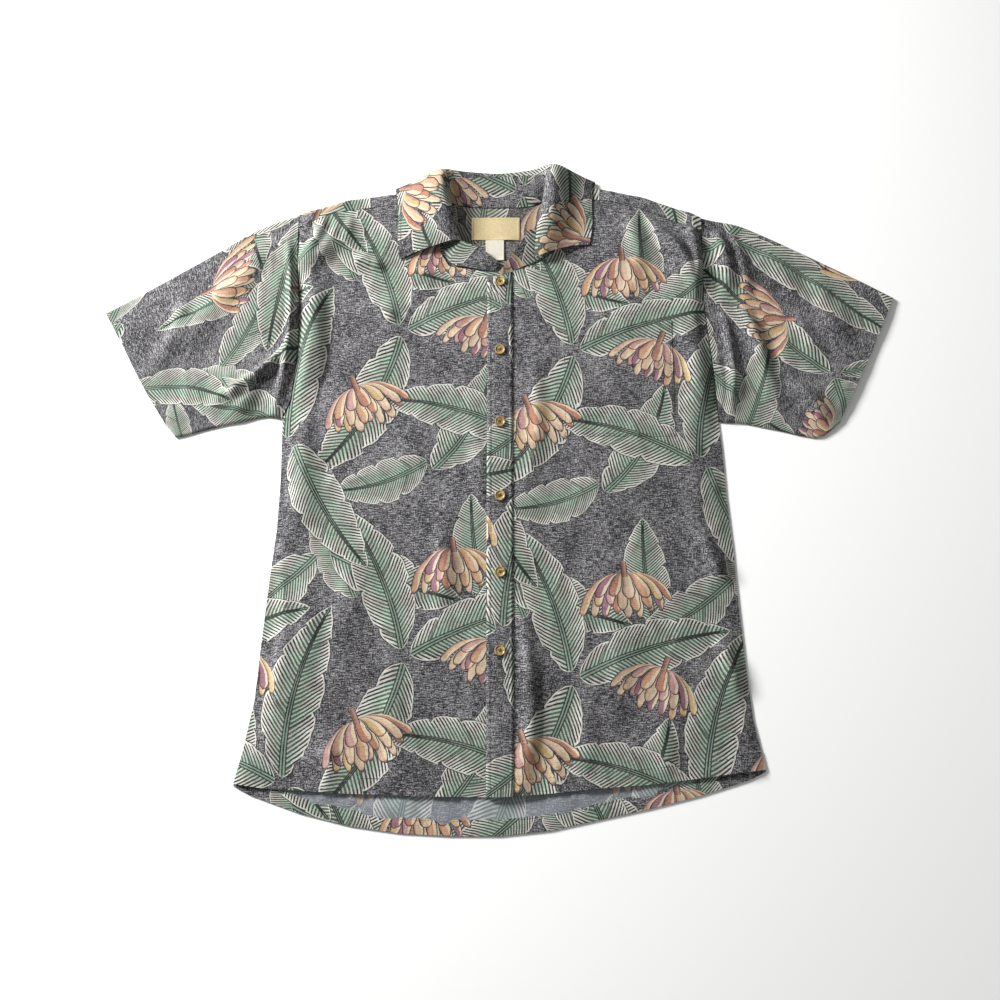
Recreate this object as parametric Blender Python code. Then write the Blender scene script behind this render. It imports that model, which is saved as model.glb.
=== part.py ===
"""A man's short-sleeved Hawaiian shirt laid flat on its back, buttoned, with its sleeves out to the sides.

Metres, +Z up. +Y runs up the body to the collar and +X towards the wearer's left sleeve. The tables are
in millimetres from a point on the centre front; the finished shirt is moved so that its box stands on the
origin. The back lies flat, the fronts lie on it, and each piece keeps a seam gap to its neighbours.
"""
import math

import bpy
from mathutils import Vector

MM = 0.001
CLOTH = 1.1              # wall of one layer of cloth
COLLAR_CLOTH = 1.3       # wall of the interlined collar
GAP = 0.3                # between pieces, at seams and between layers
LAYER = CLOTH + GAP      # one layer and the gap over it
LEAF_LIFT = 1.9          # the yoke rises this far over the collar leaf folded under it
HEM_LIFT = 1.4           # the front hem is turned up once, so it lies this much higher
PLACKET_HALF = 16.0      # half the width of the box placket
UNDER_EDGE = 19.0        # how far the under front reaches past the centre
YOKE_SEAM_Y = 300.0      # the yoke's seam across the back
HEM_BAND = 18.0          # width of the turned-up hem of the back
PUFF = 1.6               # height that loose cloth keeps over the layer below

BUTTON_RADIUS = 6.3
BUTTON_THICK = 2.6
BUTTON_RIM = 0.8
BUTTON_COUNT = 6
TOP_BUTTON_Y = 281.0
BUTTON_SPACING = 92.8
BUTTON_HOLE = 0.9
BUTTON_HOLE_OUT = 1.55

# Levels of the fronts: above the first the panel is straight, above the last it runs to the neck
LOW_LEVEL, POCKET_LOW, POCKET_TOP = -300.0, 78.0, 228.0
POCKET_INNER, POCKET_OUTER = 77.0, 213.0
HEM_SIDE = 304.0         # half the width of the front hem
ARMHOLE_X = 255.4        # half the width across the shoulders
SLEEVE_STEPS = 10        # cells across one layer of a sleeve
SLEEVE_HEIGHT = 3.6      # outside height of a flat sleeve

# Shoulder fold, the top edge of the laid shirt: x, y
FOLD_RIGHT = [(-77, 411), (-131, 403), (-192, 395), (-220, 386), (-257, 374)]
FOLD_LEFT = [(77, 419), (112, 413), (180, 399), (243, 376), (257, 370)]
# Front seam of the yoke, from the neck to the armhole: x, y
SEAM_RIGHT = [(-80, 390), (-132, 388), (-212, 376), (-257, 355)]
SEAM_LEFT = [(80, 396), (135, 393), (180, 381), (257, 350)]
# Neckline of each front, from the placket to the shoulder: x, y
NECK_RIGHT = [(-13, 295), (-38, 299), (-64, 303), (-76, 322), (-80, 356), (-80, 390)]
NECK_LEFT = [(0, 288), (22, 297), (48, 307), (68, 322), (77, 350), (80, 396)]
# Neckline across the back, right half and left half: x, y
NECK_BACK = [(-77, 411), (-66, 390), (-38, 384), (0, 383), (38, 385), (60, 394), (77, 419)]
# Armhole from the shoulder fold to the underarm, wearer's right at -X: x, y
ARMHOLE_RIGHT = [(-255.4, 374), (-255.4, 300), (-251, 255), (-249.5, 195), (-256, 127), (-266, 101)]
ARMHOLE_LEFT = [(255.4, 370), (255.4, 300), (254.5, 259), (258, 215), (263, 160), (267, 98)]
# Side seam from the underarm to the front hem: x, y
SIDE_RIGHT = [(-265, 25), (-267, -37), (-273, -98), (-279, -169), (-284, -239), (-295, -298), (-304, -334)]
SIDE_LEFT = [(270, 63), (273, 0), (278, -62), (281, -122), (286, -193), (292, -262), (304, -318)]
# Hem of the fronts: x, y
HEM_FRONT = [(-304, -334), (-270, -339), (-171, -345), (-90, -348), (0, -349), (57, -345),
             (114, -339), (171, -335), (228, -328), (304, -318)]
# Shirt-tail hem of the back: x, y
HEM_BACK = [(-306, -336), (-284, -347), (-227, -367), (-170, -381), (-113, -389), (-56, -392),
            (0, -392), (57, -386), (113, -374), (170, -362), (227, -348), (285, -330), (306, -320)]

# Soft folds of the fronts: x and y of each end, width, height
FOLDS = [
    (-228, 315, -252, 40, 34, 3.4),
    (-205, 362, -236, 290, 26, 2.6),
    (-176, 250, -140, 238, 22, 2.0),
    (205, 350, 246, 285, 26, 3.0),
    (236, 352, 250, 262, 18, 2.4),
    (30, -150, 26, -330, 22, 1.8),
    (-84, -20, -72, -110, 28, 1.6),
    (246, -30, 262, -90, 24, 2.2),
    (268, -160, 262, -240, 22, 2.0),
    (-262, -60, -272, -250, 24, 2.0),
]

# Sleeves, a row for each section from armhole to cuff: top edge x, y, lower edge x, y, share of the
# armhole's curve that the section keeps
SLEEVE_RIGHT = [
    (-256.2, 374, -266.9, 101, 1),
    (-268, 370, -278, 104, 0.9),
    (-292, 361, -294, 103, 0.7),
    (-318, 348, -314, 98, 0.5),
    (-356, 323, -338, 93, 0.3),
    (-404, 293, -362, 87, 0.1),
    (-450, 265, -381, 81, -0.2),
    (-493, 240, -395, 78, -0.4),
]
SLEEVE_LEFT = [
    (256.2, 370, 267.9, 98, 1),
    (272, 366, 280, 97, 0.9),
    (304, 359, 298, 96, 0.6),
    (343, 341, 322, 91, 0.3),
    (380, 322, 346, 86, 0.1),
    (418, 302, 370, 80, 0),
    (456, 282, 392, 79, -0.2),
    (493, 261, 415, 97, -0.4),
]
# Ridges along the sleeves: x and y of each end, width, height
SLEEVE_FOLDS = [
    (-268, 300, -280, 110, 13, 2.9),
    (-300, 300, -370, 140, 26, 2.4),
    (-330, 330, -430, 190, 30, 2.0),
    (275, 340, 292, 150, 20, 2.9),
    (330, 330, 372, 250, 26, 2.4),
    (318, 210, 352, 150, 24, 2.8),
    (400, 250, 404, 110, 24, 2.6),
]

# Collar band: x, y, z of its seam, then x, y, z of its upper edge, from the right front round the back
BAND = [
    (1, 289, 4.6, 1, 297, 7.4),
    (20, 299, 4.4, 14, 314, 11),
    (44, 309.5, 4.4, 32, 339, 15),
    (63, 324, 4.6, 42, 356, 17),
    (73.5, 351, 5.2, 48, 374, 18),
    (74, 385, 5.8, 54, 392, 18.5),
    (72, 408, 5, 57, 408, 18.5),
    (60, 397.6, 3.9, 54, 417, 17),
    (38, 386.2, 3.3, 38, 419, 14),
    (0, 384.2, 3.3, 0, 418, 12),
    (-38, 385.2, 3.3, -40, 416, 14),
    (-64, 391.8, 3.9, -60, 412, 17),
    (-72, 403, 5, -62, 404, 18.5),
    (-74.6, 380, 5, -59, 382, 18),
    (-75, 350, 4.9, -54, 358, 16.5),
    (-71, 324, 4, -48, 340, 14),
    (-60, 307, 3.4, -38, 330, 12),
    (-38, 301.6, 3, -24, 325, 10),
    (-13, 297.6, 2.8, -10, 314, 8),
    (-6, 299, 2.8, 0, 307, 6),
]
# Collar leaf: x, y, z from the band over the roll to the free edge, from the right front round the back
LEAF = [
    (43, 312, 10, 54, 315, 15, 66, 320, 14, 90, 328, 10, 113, 331, 7.6),
    (46, 344, 17.6, 56, 347, 22, 68, 350, 21, 92, 355, 13, 117, 357, 7.8),
    (52, 378, 20, 61, 382, 26, 72, 384, 25, 94, 386, 16, 117, 385, 8.2),
    (57, 404, 20.5, 64, 410, 27.6, 75, 413, 26, 96, 411, 17, 117, 402, 8.6),
    (58, 419, 19, 66, 428, 26.4, 77, 431, 24, 98, 426, 13, 119, 418, 5.2),
    (54, 422.6, 18, 60, 433, 22, 68, 436, 16, 90, 430, 2.4, 121, 415, 0.8),
    (38, 423, 15.4, 41, 430, 16, 45, 432, 10, 60, 428, 0.7, 96, 376, 0.65),
    (0, 422, 13.4, 0, 426, 13.4, 0, 427.6, 8, 0, 422, 0.7, 0, 352, 0.65),
    (-40, 420, 15.4, -43, 427, 16, -47, 429, 10, -62, 424, 0.7, -98, 368, 0.65),
    (-60, 417, 18, -66, 427, 22, -74, 430, 16, -96, 423, 2.4, -128, 408, 0.8),
    (-64, 411, 19.4, -72, 421, 26, -83, 424, 23, -106, 418, 12, -133, 406.6, 5.2),
    (-65, 398, 20.5, -73, 403, 27, -84, 405, 25, -108, 400, 16, -130, 390, 8.6),
    (-60, 374, 20, -69, 376, 25, -80, 377, 24, -104, 374, 15, -129, 365, 8.2),
    (-55, 352, 18, -65, 351, 22, -76, 350, 20, -102, 345, 13, -129, 337, 7.8),
    (-49, 334, 14, -60, 333, 17, -73, 330, 15, -100, 322, 10.6, -127, 311, 7.4),
]


def between(table, x, key=0, value=1):
    """The height of a table of points at one place, read along straight lines."""
    rows = sorted(table, key=lambda row: row[key])
    if x <= rows[0][key]:
        return rows[0][value]
    for first, second in zip(rows, rows[1:]):
        if x <= second[key]:
            share = (x - first[key]) / (second[key] - first[key])
            return first[value] + share * (second[value] - first[value])
    return rows[-1][value]


def curve_at(points, t):
    """A smooth curve through the points, t from 0 to 1."""
    last = len(points) - 1
    place = min(max(t, 0.0), 1.0) * last
    i = min(int(place), last - 1)
    f = place - i
    p = [Vector(points[min(max(i + step, 0), last)]) for step in (-1, 0, 1, 2)]
    return 0.5 * (2 * p[1] + f * (p[2] - p[0]) + f * f * (2 * p[0] - 5 * p[1] + 4 * p[2] - p[3])
                  + f ** 3 * (3 * p[1] - p[0] - 3 * p[2] + p[3]))


def spread(start, end, count):
    """Evenly spaced numbers from start to end, both included."""
    return [start + (end - start) * i / (count - 1) for i in range(count)]


def ramp(value, low, high):
    return min(max((value - low) / (high - low), 0.0), 1.0)


def soft(value, low, high):
    share = ramp(value, low, high)
    return share * share * (3 - 2 * share)


def ridge(x, y, rows):
    """Height of the soft folds at one place: each row is a line with a rounded back and faded ends."""
    height = 0.0
    for x0, y0, x1, y1, width, top in rows:
        along = Vector((x1 - x0, y1 - y0))
        out = Vector((x - x0, y - y0))
        share = out.dot(along) / along.length_squared
        side = abs(out.cross(along)) / along.length
        fade = soft(share, -0.1, 0.25) * (1 - soft(share, 0.75, 1.1))
        height = max(height, top * fade * (1 - soft(side, 0, width)))
    return height


def lift(x, y):
    """How far the yoke stands over the surface, where the collar leaf lies under it."""
    return LEAF_LIFT * ramp(y, YOKE_SEAM_Y, 335) * (1 - ramp(abs(x), 125, 180))


def front_bottom(x, y):
    """Underside of the front layer."""
    collar = LEAF_LIFT * soft(y, 270, 330) * (1 - soft(abs(x), 130, 230))
    hem = HEM_LIFT * (1 - soft(y, -300, -250))
    loose = PUFF * soft(y, 225, 330) * soft(abs(x), 40, 110)
    return LAYER + max(collar, 0) + hem + loose + ridge(x, y, FOLDS)


def over(x):
    """Extra height of the top front where it crosses the under one."""
    return LAYER * (1 - ramp(x, 24, 58))


def material(name, color, roughness):
    made = bpy.data.materials.new(name)
    made.use_nodes = True
    shader = made.node_tree.nodes["Principled BSDF"]
    shader.inputs["Base Color"].default_value = (*color, 1)
    shader.inputs["Roughness"].default_value = roughness
    return made


def build(name, points, faces, look, smooth=True):
    """An object from points in millimetres."""
    mesh = bpy.data.meshes.new(name)
    mesh.from_pydata([Vector(p) * MM for p in points], [], faces)
    mesh.materials.append(look)
    if smooth:
        mesh.shade_smooth()
        mesh.set_sharp_from_angle(angle=math.radians(50))
    made = bpy.data.objects.new(name, mesh)
    bpy.context.scene.collection.objects.link(made)
    return made


def wall(upper, lower, cells):
    """Points and faces of a closed wall between two grids of points; cells are its (column, row) pairs."""
    used = sorted({(i + a, j + b) for i, j in cells for a in (0, 1) for b in (0, 1)})
    place = {key: n for n, key in enumerate(used)}
    points = [upper[i][j] for i, j in used] + [lower[i][j] for i, j in used]
    under = len(used)
    faces, edges = [], {}
    for i, j in cells:
        ring = [place[(i, j)], place[(i + 1, j)], place[(i + 1, j + 1)], place[(i, j + 1)]]
        faces.append(ring)
        faces.append([ring[n] + under for n in (0, 3, 2, 1)])
        for a, b in zip(ring, ring[1:] + ring[:1]):
            if (b, a) in edges:
                del edges[(b, a)]
            else:
                edges[(a, b)] = True
    faces += [[b, a, a + under, b + under] for a, b in edges]
    return points, faces


def all_cells(grid):
    return [(i, j) for i in range(len(grid) - 1) for j in range(len(grid[0]) - 1)]


def flat_panel(name, grid, bottom, look, thick=CLOTH):
    """A panel that lies down: a grid of (x, y) columns, its underside at bottom(x, y)."""
    lower = [[(x, y, bottom(x, y)) for x, y in column] for column in grid]
    upper = [[(x, y, z + thick) for x, y, z in column] for column in lower]
    return build(name, *wall(upper, lower, all_cells(grid)), look)


def bent_sheet(name, grid, thick, look, cells=None):
    """A sheet that stands or folds: a grid of mid-surface points, thickened along its normals."""
    columns, rows = len(grid), len(grid[0])
    upper, lower = [], []
    for i in range(columns):
        upper.append([])
        lower.append([])
        for j in range(rows):
            along = Vector(grid[min(i + 1, columns - 1)][j]) - Vector(grid[max(i - 1, 0)][j])
            across = Vector(grid[i][min(j + 1, rows - 1)]) - Vector(grid[i][max(j - 1, 0)])
            normal = along.cross(across).normalized() * thick / 2
            middle = Vector(grid[i][j])
            for side, sign in ((upper, 1), (lower, -1)):
                point = middle + sign * normal
                point.z = max(point.z, 0.0)
                side[-1].append(point)
    return build(name, *wall(upper, lower, cells or all_cells(grid)), look)


def edge_x(y, armhole, side):
    """Where the side of the body lies at one level."""
    return between(armhole + side, y, key=1, value=0)


def front_grid(xs, wearer_left, neck, seam):
    """Columns of a front: straight up the body, fanned out to its side and up to its neck and yoke seam."""
    armhole, side = (ARMHOLE_LEFT, SIDE_LEFT) if wearer_left else (ARMHOLE_RIGHT, SIDE_RIGHT)
    sign = 1 if wearer_left else -1
    body = spread(LOW_LEVEL, POCKET_LOW, 15) + spread(POCKET_LOW, POCKET_TOP, 7)[1:]
    grid = []
    for x in xs:
        share = ramp(abs(x), POCKET_OUTER, ARMHOLE_X)
        foot = sign * (POCKET_OUTER + share * (HEM_SIDE - POCKET_OUTER)) if share else x
        top = between(neck, x) if abs(x) < 80 else between(seam, x) - GAP
        hem = between(HEM_FRONT, foot)
        levels = spread(hem, LOW_LEVEL, 3)[:-1] + body + spread(POCKET_TOP, top, 7)[1:]
        column = []
        for y in levels:
            reach = abs(edge_x(y, armhole, side)) - POCKET_OUTER
            column.append((sign * (POCKET_OUTER + share * reach) if share else x, y))
        grid.append(column)
    return grid


CENTRE_XS = [-PLACKET_HALF, 0.0, PLACKET_HALF, UNDER_EDGE]
UNDER_XS = [-ARMHOLE_X, -234.0, -POCKET_OUTER, -190.0, -166.0, -142.0, -116.0, -94.0, -80.0, -76.0, -62.0,
            -38.0, *CENTRE_XS]
OVER_XS = [*CENTRE_XS, 40.0, 58.0, 70.0, POCKET_INNER, 80.0, 94.0, 116.0, 142.0, 166.0, 190.0,
           POCKET_OUTER, 234.0, ARMHOLE_X]


def over_bottom(x, y):
    return front_bottom(x, y) + over(x)


def on_top_front(x, y):
    """Underside of what lies on the top front."""
    return over_bottom(x, y) + LAYER


def make_fronts(look):
    under = front_grid(UNDER_XS, False, NECK_RIGHT, SEAM_RIGHT)
    top = front_grid(OVER_XS, True, NECK_LEFT, SEAM_LEFT)
    flat_panel("front_right", under, front_bottom, look)
    flat_panel("front_left", top, over_bottom, look)
    flat_panel("placket", top[:3], on_top_front, look)
    pocket = [
        [(x, y) for x, y in column if POCKET_LOW <= y <= POCKET_TOP]
        for column in top if POCKET_INNER <= column[8][0] <= POCKET_OUTER
    ]
    flat_panel("pocket", pocket, on_top_front, look)


def make_back(look):
    """The back is one flat panel, its armholes and sides those of the fronts."""
    def side(armhole, rest):
        top = [(armhole[0][0], YOKE_SEAM_Y - GAP)]
        return top + [p for p in armhole if p[1] < YOKE_SEAM_Y - 1] + rest
    left, right = side(ARMHOLE_RIGHT, SIDE_RIGHT), side(ARMHOLE_LEFT, SIDE_LEFT)
    outline = left + HEM_BACK + right[::-1]
    count = len(outline)
    points = [(x, y, 0) for x, y in outline] + [(x, y, CLOTH) for x, y in outline]
    faces = [list(range(count))[::-1], list(range(count, 2 * count))]
    faces += [[i, (i + 1) % count, (i + 1) % count + count, i + count] for i in range(count)]
    build("back", points, faces, look, smooth=False)
    xs = [x for x, _ in HEM_BACK[1:-1]]
    band = [[(x, between(HEM_BACK, x) + GAP), (x, between(HEM_BACK, x) + HEM_BAND)] for x in xs]
    flat_panel("back_hem", band, lambda x, y: LAYER, look)


def yoke_column(x, fold, seam, neck):
    """Mid-surface of the yoke at one place, from its back seam over the shoulder to its front seam."""
    middle = CLOTH / 2
    top = between(NECK_BACK, x) if neck else between(fold, x)
    end = top if neck else top - 2.6
    levels = [YOKE_SEAM_Y + GAP, 312.0, 323.0, 335.0] + spread(335, end, 4)[1:]
    column = [(x, y, lift(x, y) + middle) for y in levels]
    if neck:
        return column + [column[-1]] * 4
    low = column[-1][2]
    down = between(seam, x) + GAP
    high = front_bottom(x, top) + middle
    turn = [(x, top - middle, (low + high) / 2), (x, end, high)]
    flap = [(x, y, front_bottom(x, y) + middle) for y in spread(end, down, 3)[1:]]
    return column + turn + flap


def make_yoke(look):
    outer = [ARMHOLE_X, 234, POCKET_OUTER, 190, 166, 142, 116, 94, 77]
    across = [-66.0, -52.0, -38.0, -19.0, 0.0, 19.0, 38.0, 50.0, 60.0]
    grid = [yoke_column(-x, FOLD_RIGHT, SEAM_RIGHT, False) for x in outer]
    grid += [yoke_column(x, None, None, True) for x in across]
    grid += [yoke_column(x, FOLD_LEFT, SEAM_LEFT, False) for x in outer[::-1]]
    shoulder = len(outer) - 1
    neck_row = 6
    cells = [(i, j) for i, j in all_cells(grid)
             if j < neck_row or i < shoulder or i >= len(grid) - 1 - shoulder]
    bent_sheet("yoke", grid, CLOTH, look, cells)


def armhole_offset(armhole, t):
    """How far the armhole lies from the straight line between its ends."""
    (x0, y0), (x1, y1) = armhole[0], armhole[-1]
    y = y0 + (y1 - y0) * t
    return between(armhole, y, key=1, value=0) - (x0 + (x1 - x0) * t)


def make_sleeve(name, sections, armhole, look):
    """A flattened tube: an outer and an inner ring at each section, joined at the armhole and the cuff."""
    steps = [0.0, 0.03] + spread(0.03, 0.97, SLEEVE_STEPS)[1:] + [1.0]
    outer, inner = [], []
    for tx, ty, bx, by, keep in sections:
        across = Vector((bx - tx, by - ty)).normalized()
        over_ring, in_ring = ([], []), ([], [])
        for t in steps:
            x = tx + (bx - tx) * t + keep * armhole_offset(armhole, t)
            y = ty + (by - ty) * t
            edge = 1 if t in (0.0, 1.0) else 0
            height = SLEEVE_HEIGHT + ridge(x, y, SLEEVE_FOLDS) * soft(min(t, 1 - t), 0, 0.15)
            inward = across * CLOTH * (1 if t < 0.5 else -1) * edge
            top, low = (height / 2, height / 2) if edge else (height, 0.0)
            over_ring[0].append((x, y, top))
            over_ring[1].append((x, y, low))
            shift = 0 if edge else CLOTH
            in_ring[0].append((x + inward.x, y + inward.y, top - shift))
            in_ring[1].append((x + inward.x, y + inward.y, low + shift))
        outer.append(over_ring[0] + over_ring[1][-2:0:-1])
        inner.append(in_ring[0] + in_ring[1][-2:0:-1])
    ring, count = len(outer[0]), len(outer)
    points = [p for section in outer for p in section] + [p for section in inner for p in section]
    hollow = ring * count
    faces = []
    for i in range(count - 1):
        for j in range(ring):
            a, b = i * ring + j, i * ring + (j + 1) % ring
            faces.append([a, a + ring, b + ring, b])
            faces.append([hollow + b, hollow + b + ring, hollow + a + ring, hollow + a])
    for start, flip in ((0, False), ((count - 1) * ring, True)):
        for j in range(ring):
            a, b = start + j, start + (j + 1) % ring
            face = [a, b, hollow + b, hollow + a]
            faces.append(face[::-1] if flip else face)
    if sections[0][0] > 0:
        faces = [face[::-1] for face in faces]
    build(name, points, faces, look)


def make_collar(look):
    """The band leans in from the neckline; the leaf rolls over it and lies on the shoulders and under the yoke."""
    band = []
    for row in BAND:
        seam, upper = Vector(row[:3]), Vector(row[3:])
        band.append([seam.lerp(upper, share) for share in spread(0, 1, 4)])
    bent_sheet("collar_stand", smooth_columns(band, 2), COLLAR_CLOTH, look)
    leaf = [[Vector(row[k:k + 3]) for k in range(0, 15, 3)] for row in LEAF]
    leaf = [[curve_at(column, t) for t in spread(0, 1, 9)] for column in smooth_columns(leaf, 3)]
    for column in leaf:
        for point in column:
            point.z = max(point.z, COLLAR_CLOTH / 2)
    bent_sheet("collar_leaf", leaf, COLLAR_CLOTH, look)


def smooth_columns(columns, steps):
    """More columns, on smooth curves through the given ones."""
    count = (len(columns) - 1) * steps + 1
    return [
        [curve_at([column[j] for column in columns], i / (count - 1)) for j in range(len(columns[0]))]
        for i in range(count)
    ]


def make_labels(look):
    def on_yoke(x, y):
        return lift(x, y) + LAYER
    for name, xs, ys in (
        ("neck_label", (-36, 25), (339, 370)),
        ("size_label", (-18, 5), (312, 323, 335, 338.6)),
    ):
        flat_panel(name, [[(x, y) for y in ys] for x in xs], on_yoke, look, thick=1.0)


def make_button(number, look):
    y = TOP_BUTTON_Y - BUTTON_SPACING * (number - 1)
    base = max(on_top_front(x, y + dy) for x in (-PLACKET_HALF, 0.0) for dy in (-9, 0, 9)) + LAYER
    outline = [(0, 0), (4.4, 0), (5.9, 0.5), (BUTTON_RADIUS, 1.4), (5.9, 2.3), (5.2, BUTTON_THICK),
               (4.4, 2.4), (3.6, BUTTON_THICK - BUTTON_RIM), (0, BUTTON_THICK - BUTTON_RIM)]
    sides = 20
    points, faces = [(0, 0, 0)], []
    for r, z in outline[1:-1]:
        for k in range(sides):
            turn = 2 * math.pi * k / sides
            points.append((r * math.cos(turn), r * math.sin(turn), z))
    points.append((0, 0, outline[-1][1]))
    rings = len(outline) - 2
    for i in range(rings - 1):
        for k in range(sides):
            a, b = 1 + i * sides + k, 1 + i * sides + (k + 1) % sides
            faces.append([a, b, b + sides, a + sides])
    last = 1 + (rings - 1) * sides
    for k in range(sides):
        faces.append([0, 1 + (k + 1) % sides, 1 + k])
        faces.append([last + k, last + (k + 1) % sides, len(points) - 1])
    made = build(f"button_{number}", [(x, y + py, base + z) for x, py, z in points], faces, look)
    for k in range(4):
        turn = math.pi / 4 + k * math.pi / 2
        bpy.ops.mesh.primitive_cylinder_add(
            vertices=10, radius=BUTTON_HOLE * MM, depth=4 * BUTTON_THICK * MM,
            location=(BUTTON_HOLE_OUT * math.cos(turn) * MM,
                      (y + BUTTON_HOLE_OUT * math.sin(turn)) * MM, base * MM))
        drill = bpy.context.object
        drill.name = f"drill_{number}_{k + 1}"
        drill.hide_render = True
        drill.display_type = "WIRE"
        cut = made.modifiers.new(f"hole_{k + 1}", "BOOLEAN")
        cut.operation = "DIFFERENCE"
        cut.solver = "EXACT"
        cut.object = drill


def stand_on_origin():
    """Move everything so that the middle of its box stands on the origin."""
    solids = [o for o in bpy.context.scene.objects if not o.hide_render]
    corners = [v.co for o in solids for v in o.data.vertices]
    shift = Vector((
        -(min(c.x for c in corners) + max(c.x for c in corners)) / 2,
        -(min(c.y for c in corners) + max(c.y for c in corners)) / 2,
        -min(c.z for c in corners),
    ))
    for o in bpy.context.scene.objects:
        o.location += shift
    print("moved by", [round(v / MM, 2) for v in shift])


def main():
    for old in list(bpy.data.objects):
        bpy.data.objects.remove(old)
    cloth = material("printed_cloth", (0.10, 0.11, 0.12), 0.9)
    label = material("label", (0.78, 0.70, 0.48), 0.8)
    wood = material("button_shell", (0.34, 0.24, 0.10), 0.4)
    make_back(cloth)
    make_yoke(cloth)
    make_fronts(cloth)
    make_sleeve("sleeve_right", SLEEVE_RIGHT, ARMHOLE_RIGHT, cloth)
    make_sleeve("sleeve_left", SLEEVE_LEFT, ARMHOLE_LEFT, cloth)
    make_collar(cloth)
    make_labels(label)
    for number in range(1, BUTTON_COUNT + 1):
        make_button(number, wood)
    stand_on_origin()


main()
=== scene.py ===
import math
import bpy
import numpy as np
from mathutils import Matrix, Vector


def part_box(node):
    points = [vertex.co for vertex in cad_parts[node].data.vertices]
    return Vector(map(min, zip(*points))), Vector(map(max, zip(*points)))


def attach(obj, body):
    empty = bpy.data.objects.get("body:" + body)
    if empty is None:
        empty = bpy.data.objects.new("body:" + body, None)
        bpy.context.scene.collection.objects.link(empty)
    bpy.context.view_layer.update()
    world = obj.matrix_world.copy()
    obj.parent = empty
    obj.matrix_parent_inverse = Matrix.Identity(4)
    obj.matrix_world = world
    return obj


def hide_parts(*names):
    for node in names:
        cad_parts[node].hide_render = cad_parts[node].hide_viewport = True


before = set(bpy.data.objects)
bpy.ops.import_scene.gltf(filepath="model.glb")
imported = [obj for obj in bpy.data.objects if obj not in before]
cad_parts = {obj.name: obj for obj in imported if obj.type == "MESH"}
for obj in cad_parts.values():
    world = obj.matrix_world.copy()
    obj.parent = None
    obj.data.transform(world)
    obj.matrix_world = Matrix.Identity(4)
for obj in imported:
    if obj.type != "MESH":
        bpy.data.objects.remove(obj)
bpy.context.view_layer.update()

# Plan of the laid shirt in millimetres from a point on its centre front, +y to the collar, the wearer's left at +x
plan = {
    "foldRight": [(-77, 411), (-131, 403), (-192, 395), (-220, 386), (-257, 374)],  # top edge of the shoulders
    "foldLeft": [(77, 419), (112, 413), (180, 399), (243, 376), (257, 370)],
    "seamRight": [(-80, 390), (-132, 388), (-212, 376), (-257, 355)],  # front seams of the yoke
    "seamLeft": [(80, 396), (135, 393), (180, 381), (257, 350)],
    "neckRight": [(-13, 295), (-38, 299), (-64, 303), (-76, 322), (-80, 356), (-80, 390)],
    "neckLeft": [(0, 288), (22, 297), (48, 307), (68, 322), (77, 350), (80, 396)],
    "neckBack": [(-77, 411), (-66, 390), (-38, 384), (0, 383), (38, 385), (60, 394), (77, 419)],
    "armholeRight": [(-255.4, 374), (-255.4, 300), (-251, 255), (-249.5, 195), (-256, 127), (-266, 101)],
    "armholeLeft": [(255.4, 370), (255.4, 300), (254.5, 259), (258, 215), (263, 160), (267, 98)],
    "sideRight": [(-265, 25), (-267, -37), (-273, -98), (-279, -169), (-284, -239), (-295, -298), (-304, -334)],
    "sideLeft": [(270, 63), (273, 0), (278, -62), (281, -122), (286, -193), (292, -262), (304, -318)],
    "hemFront": [(-304, -334), (-270, -339), (-171, -345), (-90, -348), (0, -349), (57, -345),
                 (114, -339), (171, -335), (228, -328), (304, -318)],
    "hemBack": [(-306, -336), (-284, -347), (-227, -367), (-170, -381), (-113, -389), (-56, -392),
                (0, -392), (57, -386), (113, -374), (170, -362), (227, -348), (285, -330), (306, -320)],
    "yokeBackSeam": 300.0,
    "shoulderX": 255.4,
    "placketHalf": 16.0,
    "underEdge": 19.0,
    "pocket": (77.0, 213.0, 78.0, 228.0),
    "hemSide": 304.0,
}
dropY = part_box("back")[1][1] * 1000 - (plan["yokeBackSeam"] - 0.3)  # from the plan's y to the frame's
stack = {"layer": 1.4, "leafLift": 1.9, "hemLift": 1.4, "puff": 1.6, "air": 4.5, "cloth": 0.6, "half": 0.55}


def smooth(value, low, high):
    share = np.clip((value - low) / (high - low), 0, 1)
    return share * share * (3 - 2 * share)


def along(table, value, key=0):
    rows = sorted(plan[table] if isinstance(table, str) else table, key=lambda row: row[key])
    return np.interp(value, [r[key] for r in rows], [r[1 - key] for r in rows])


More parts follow.
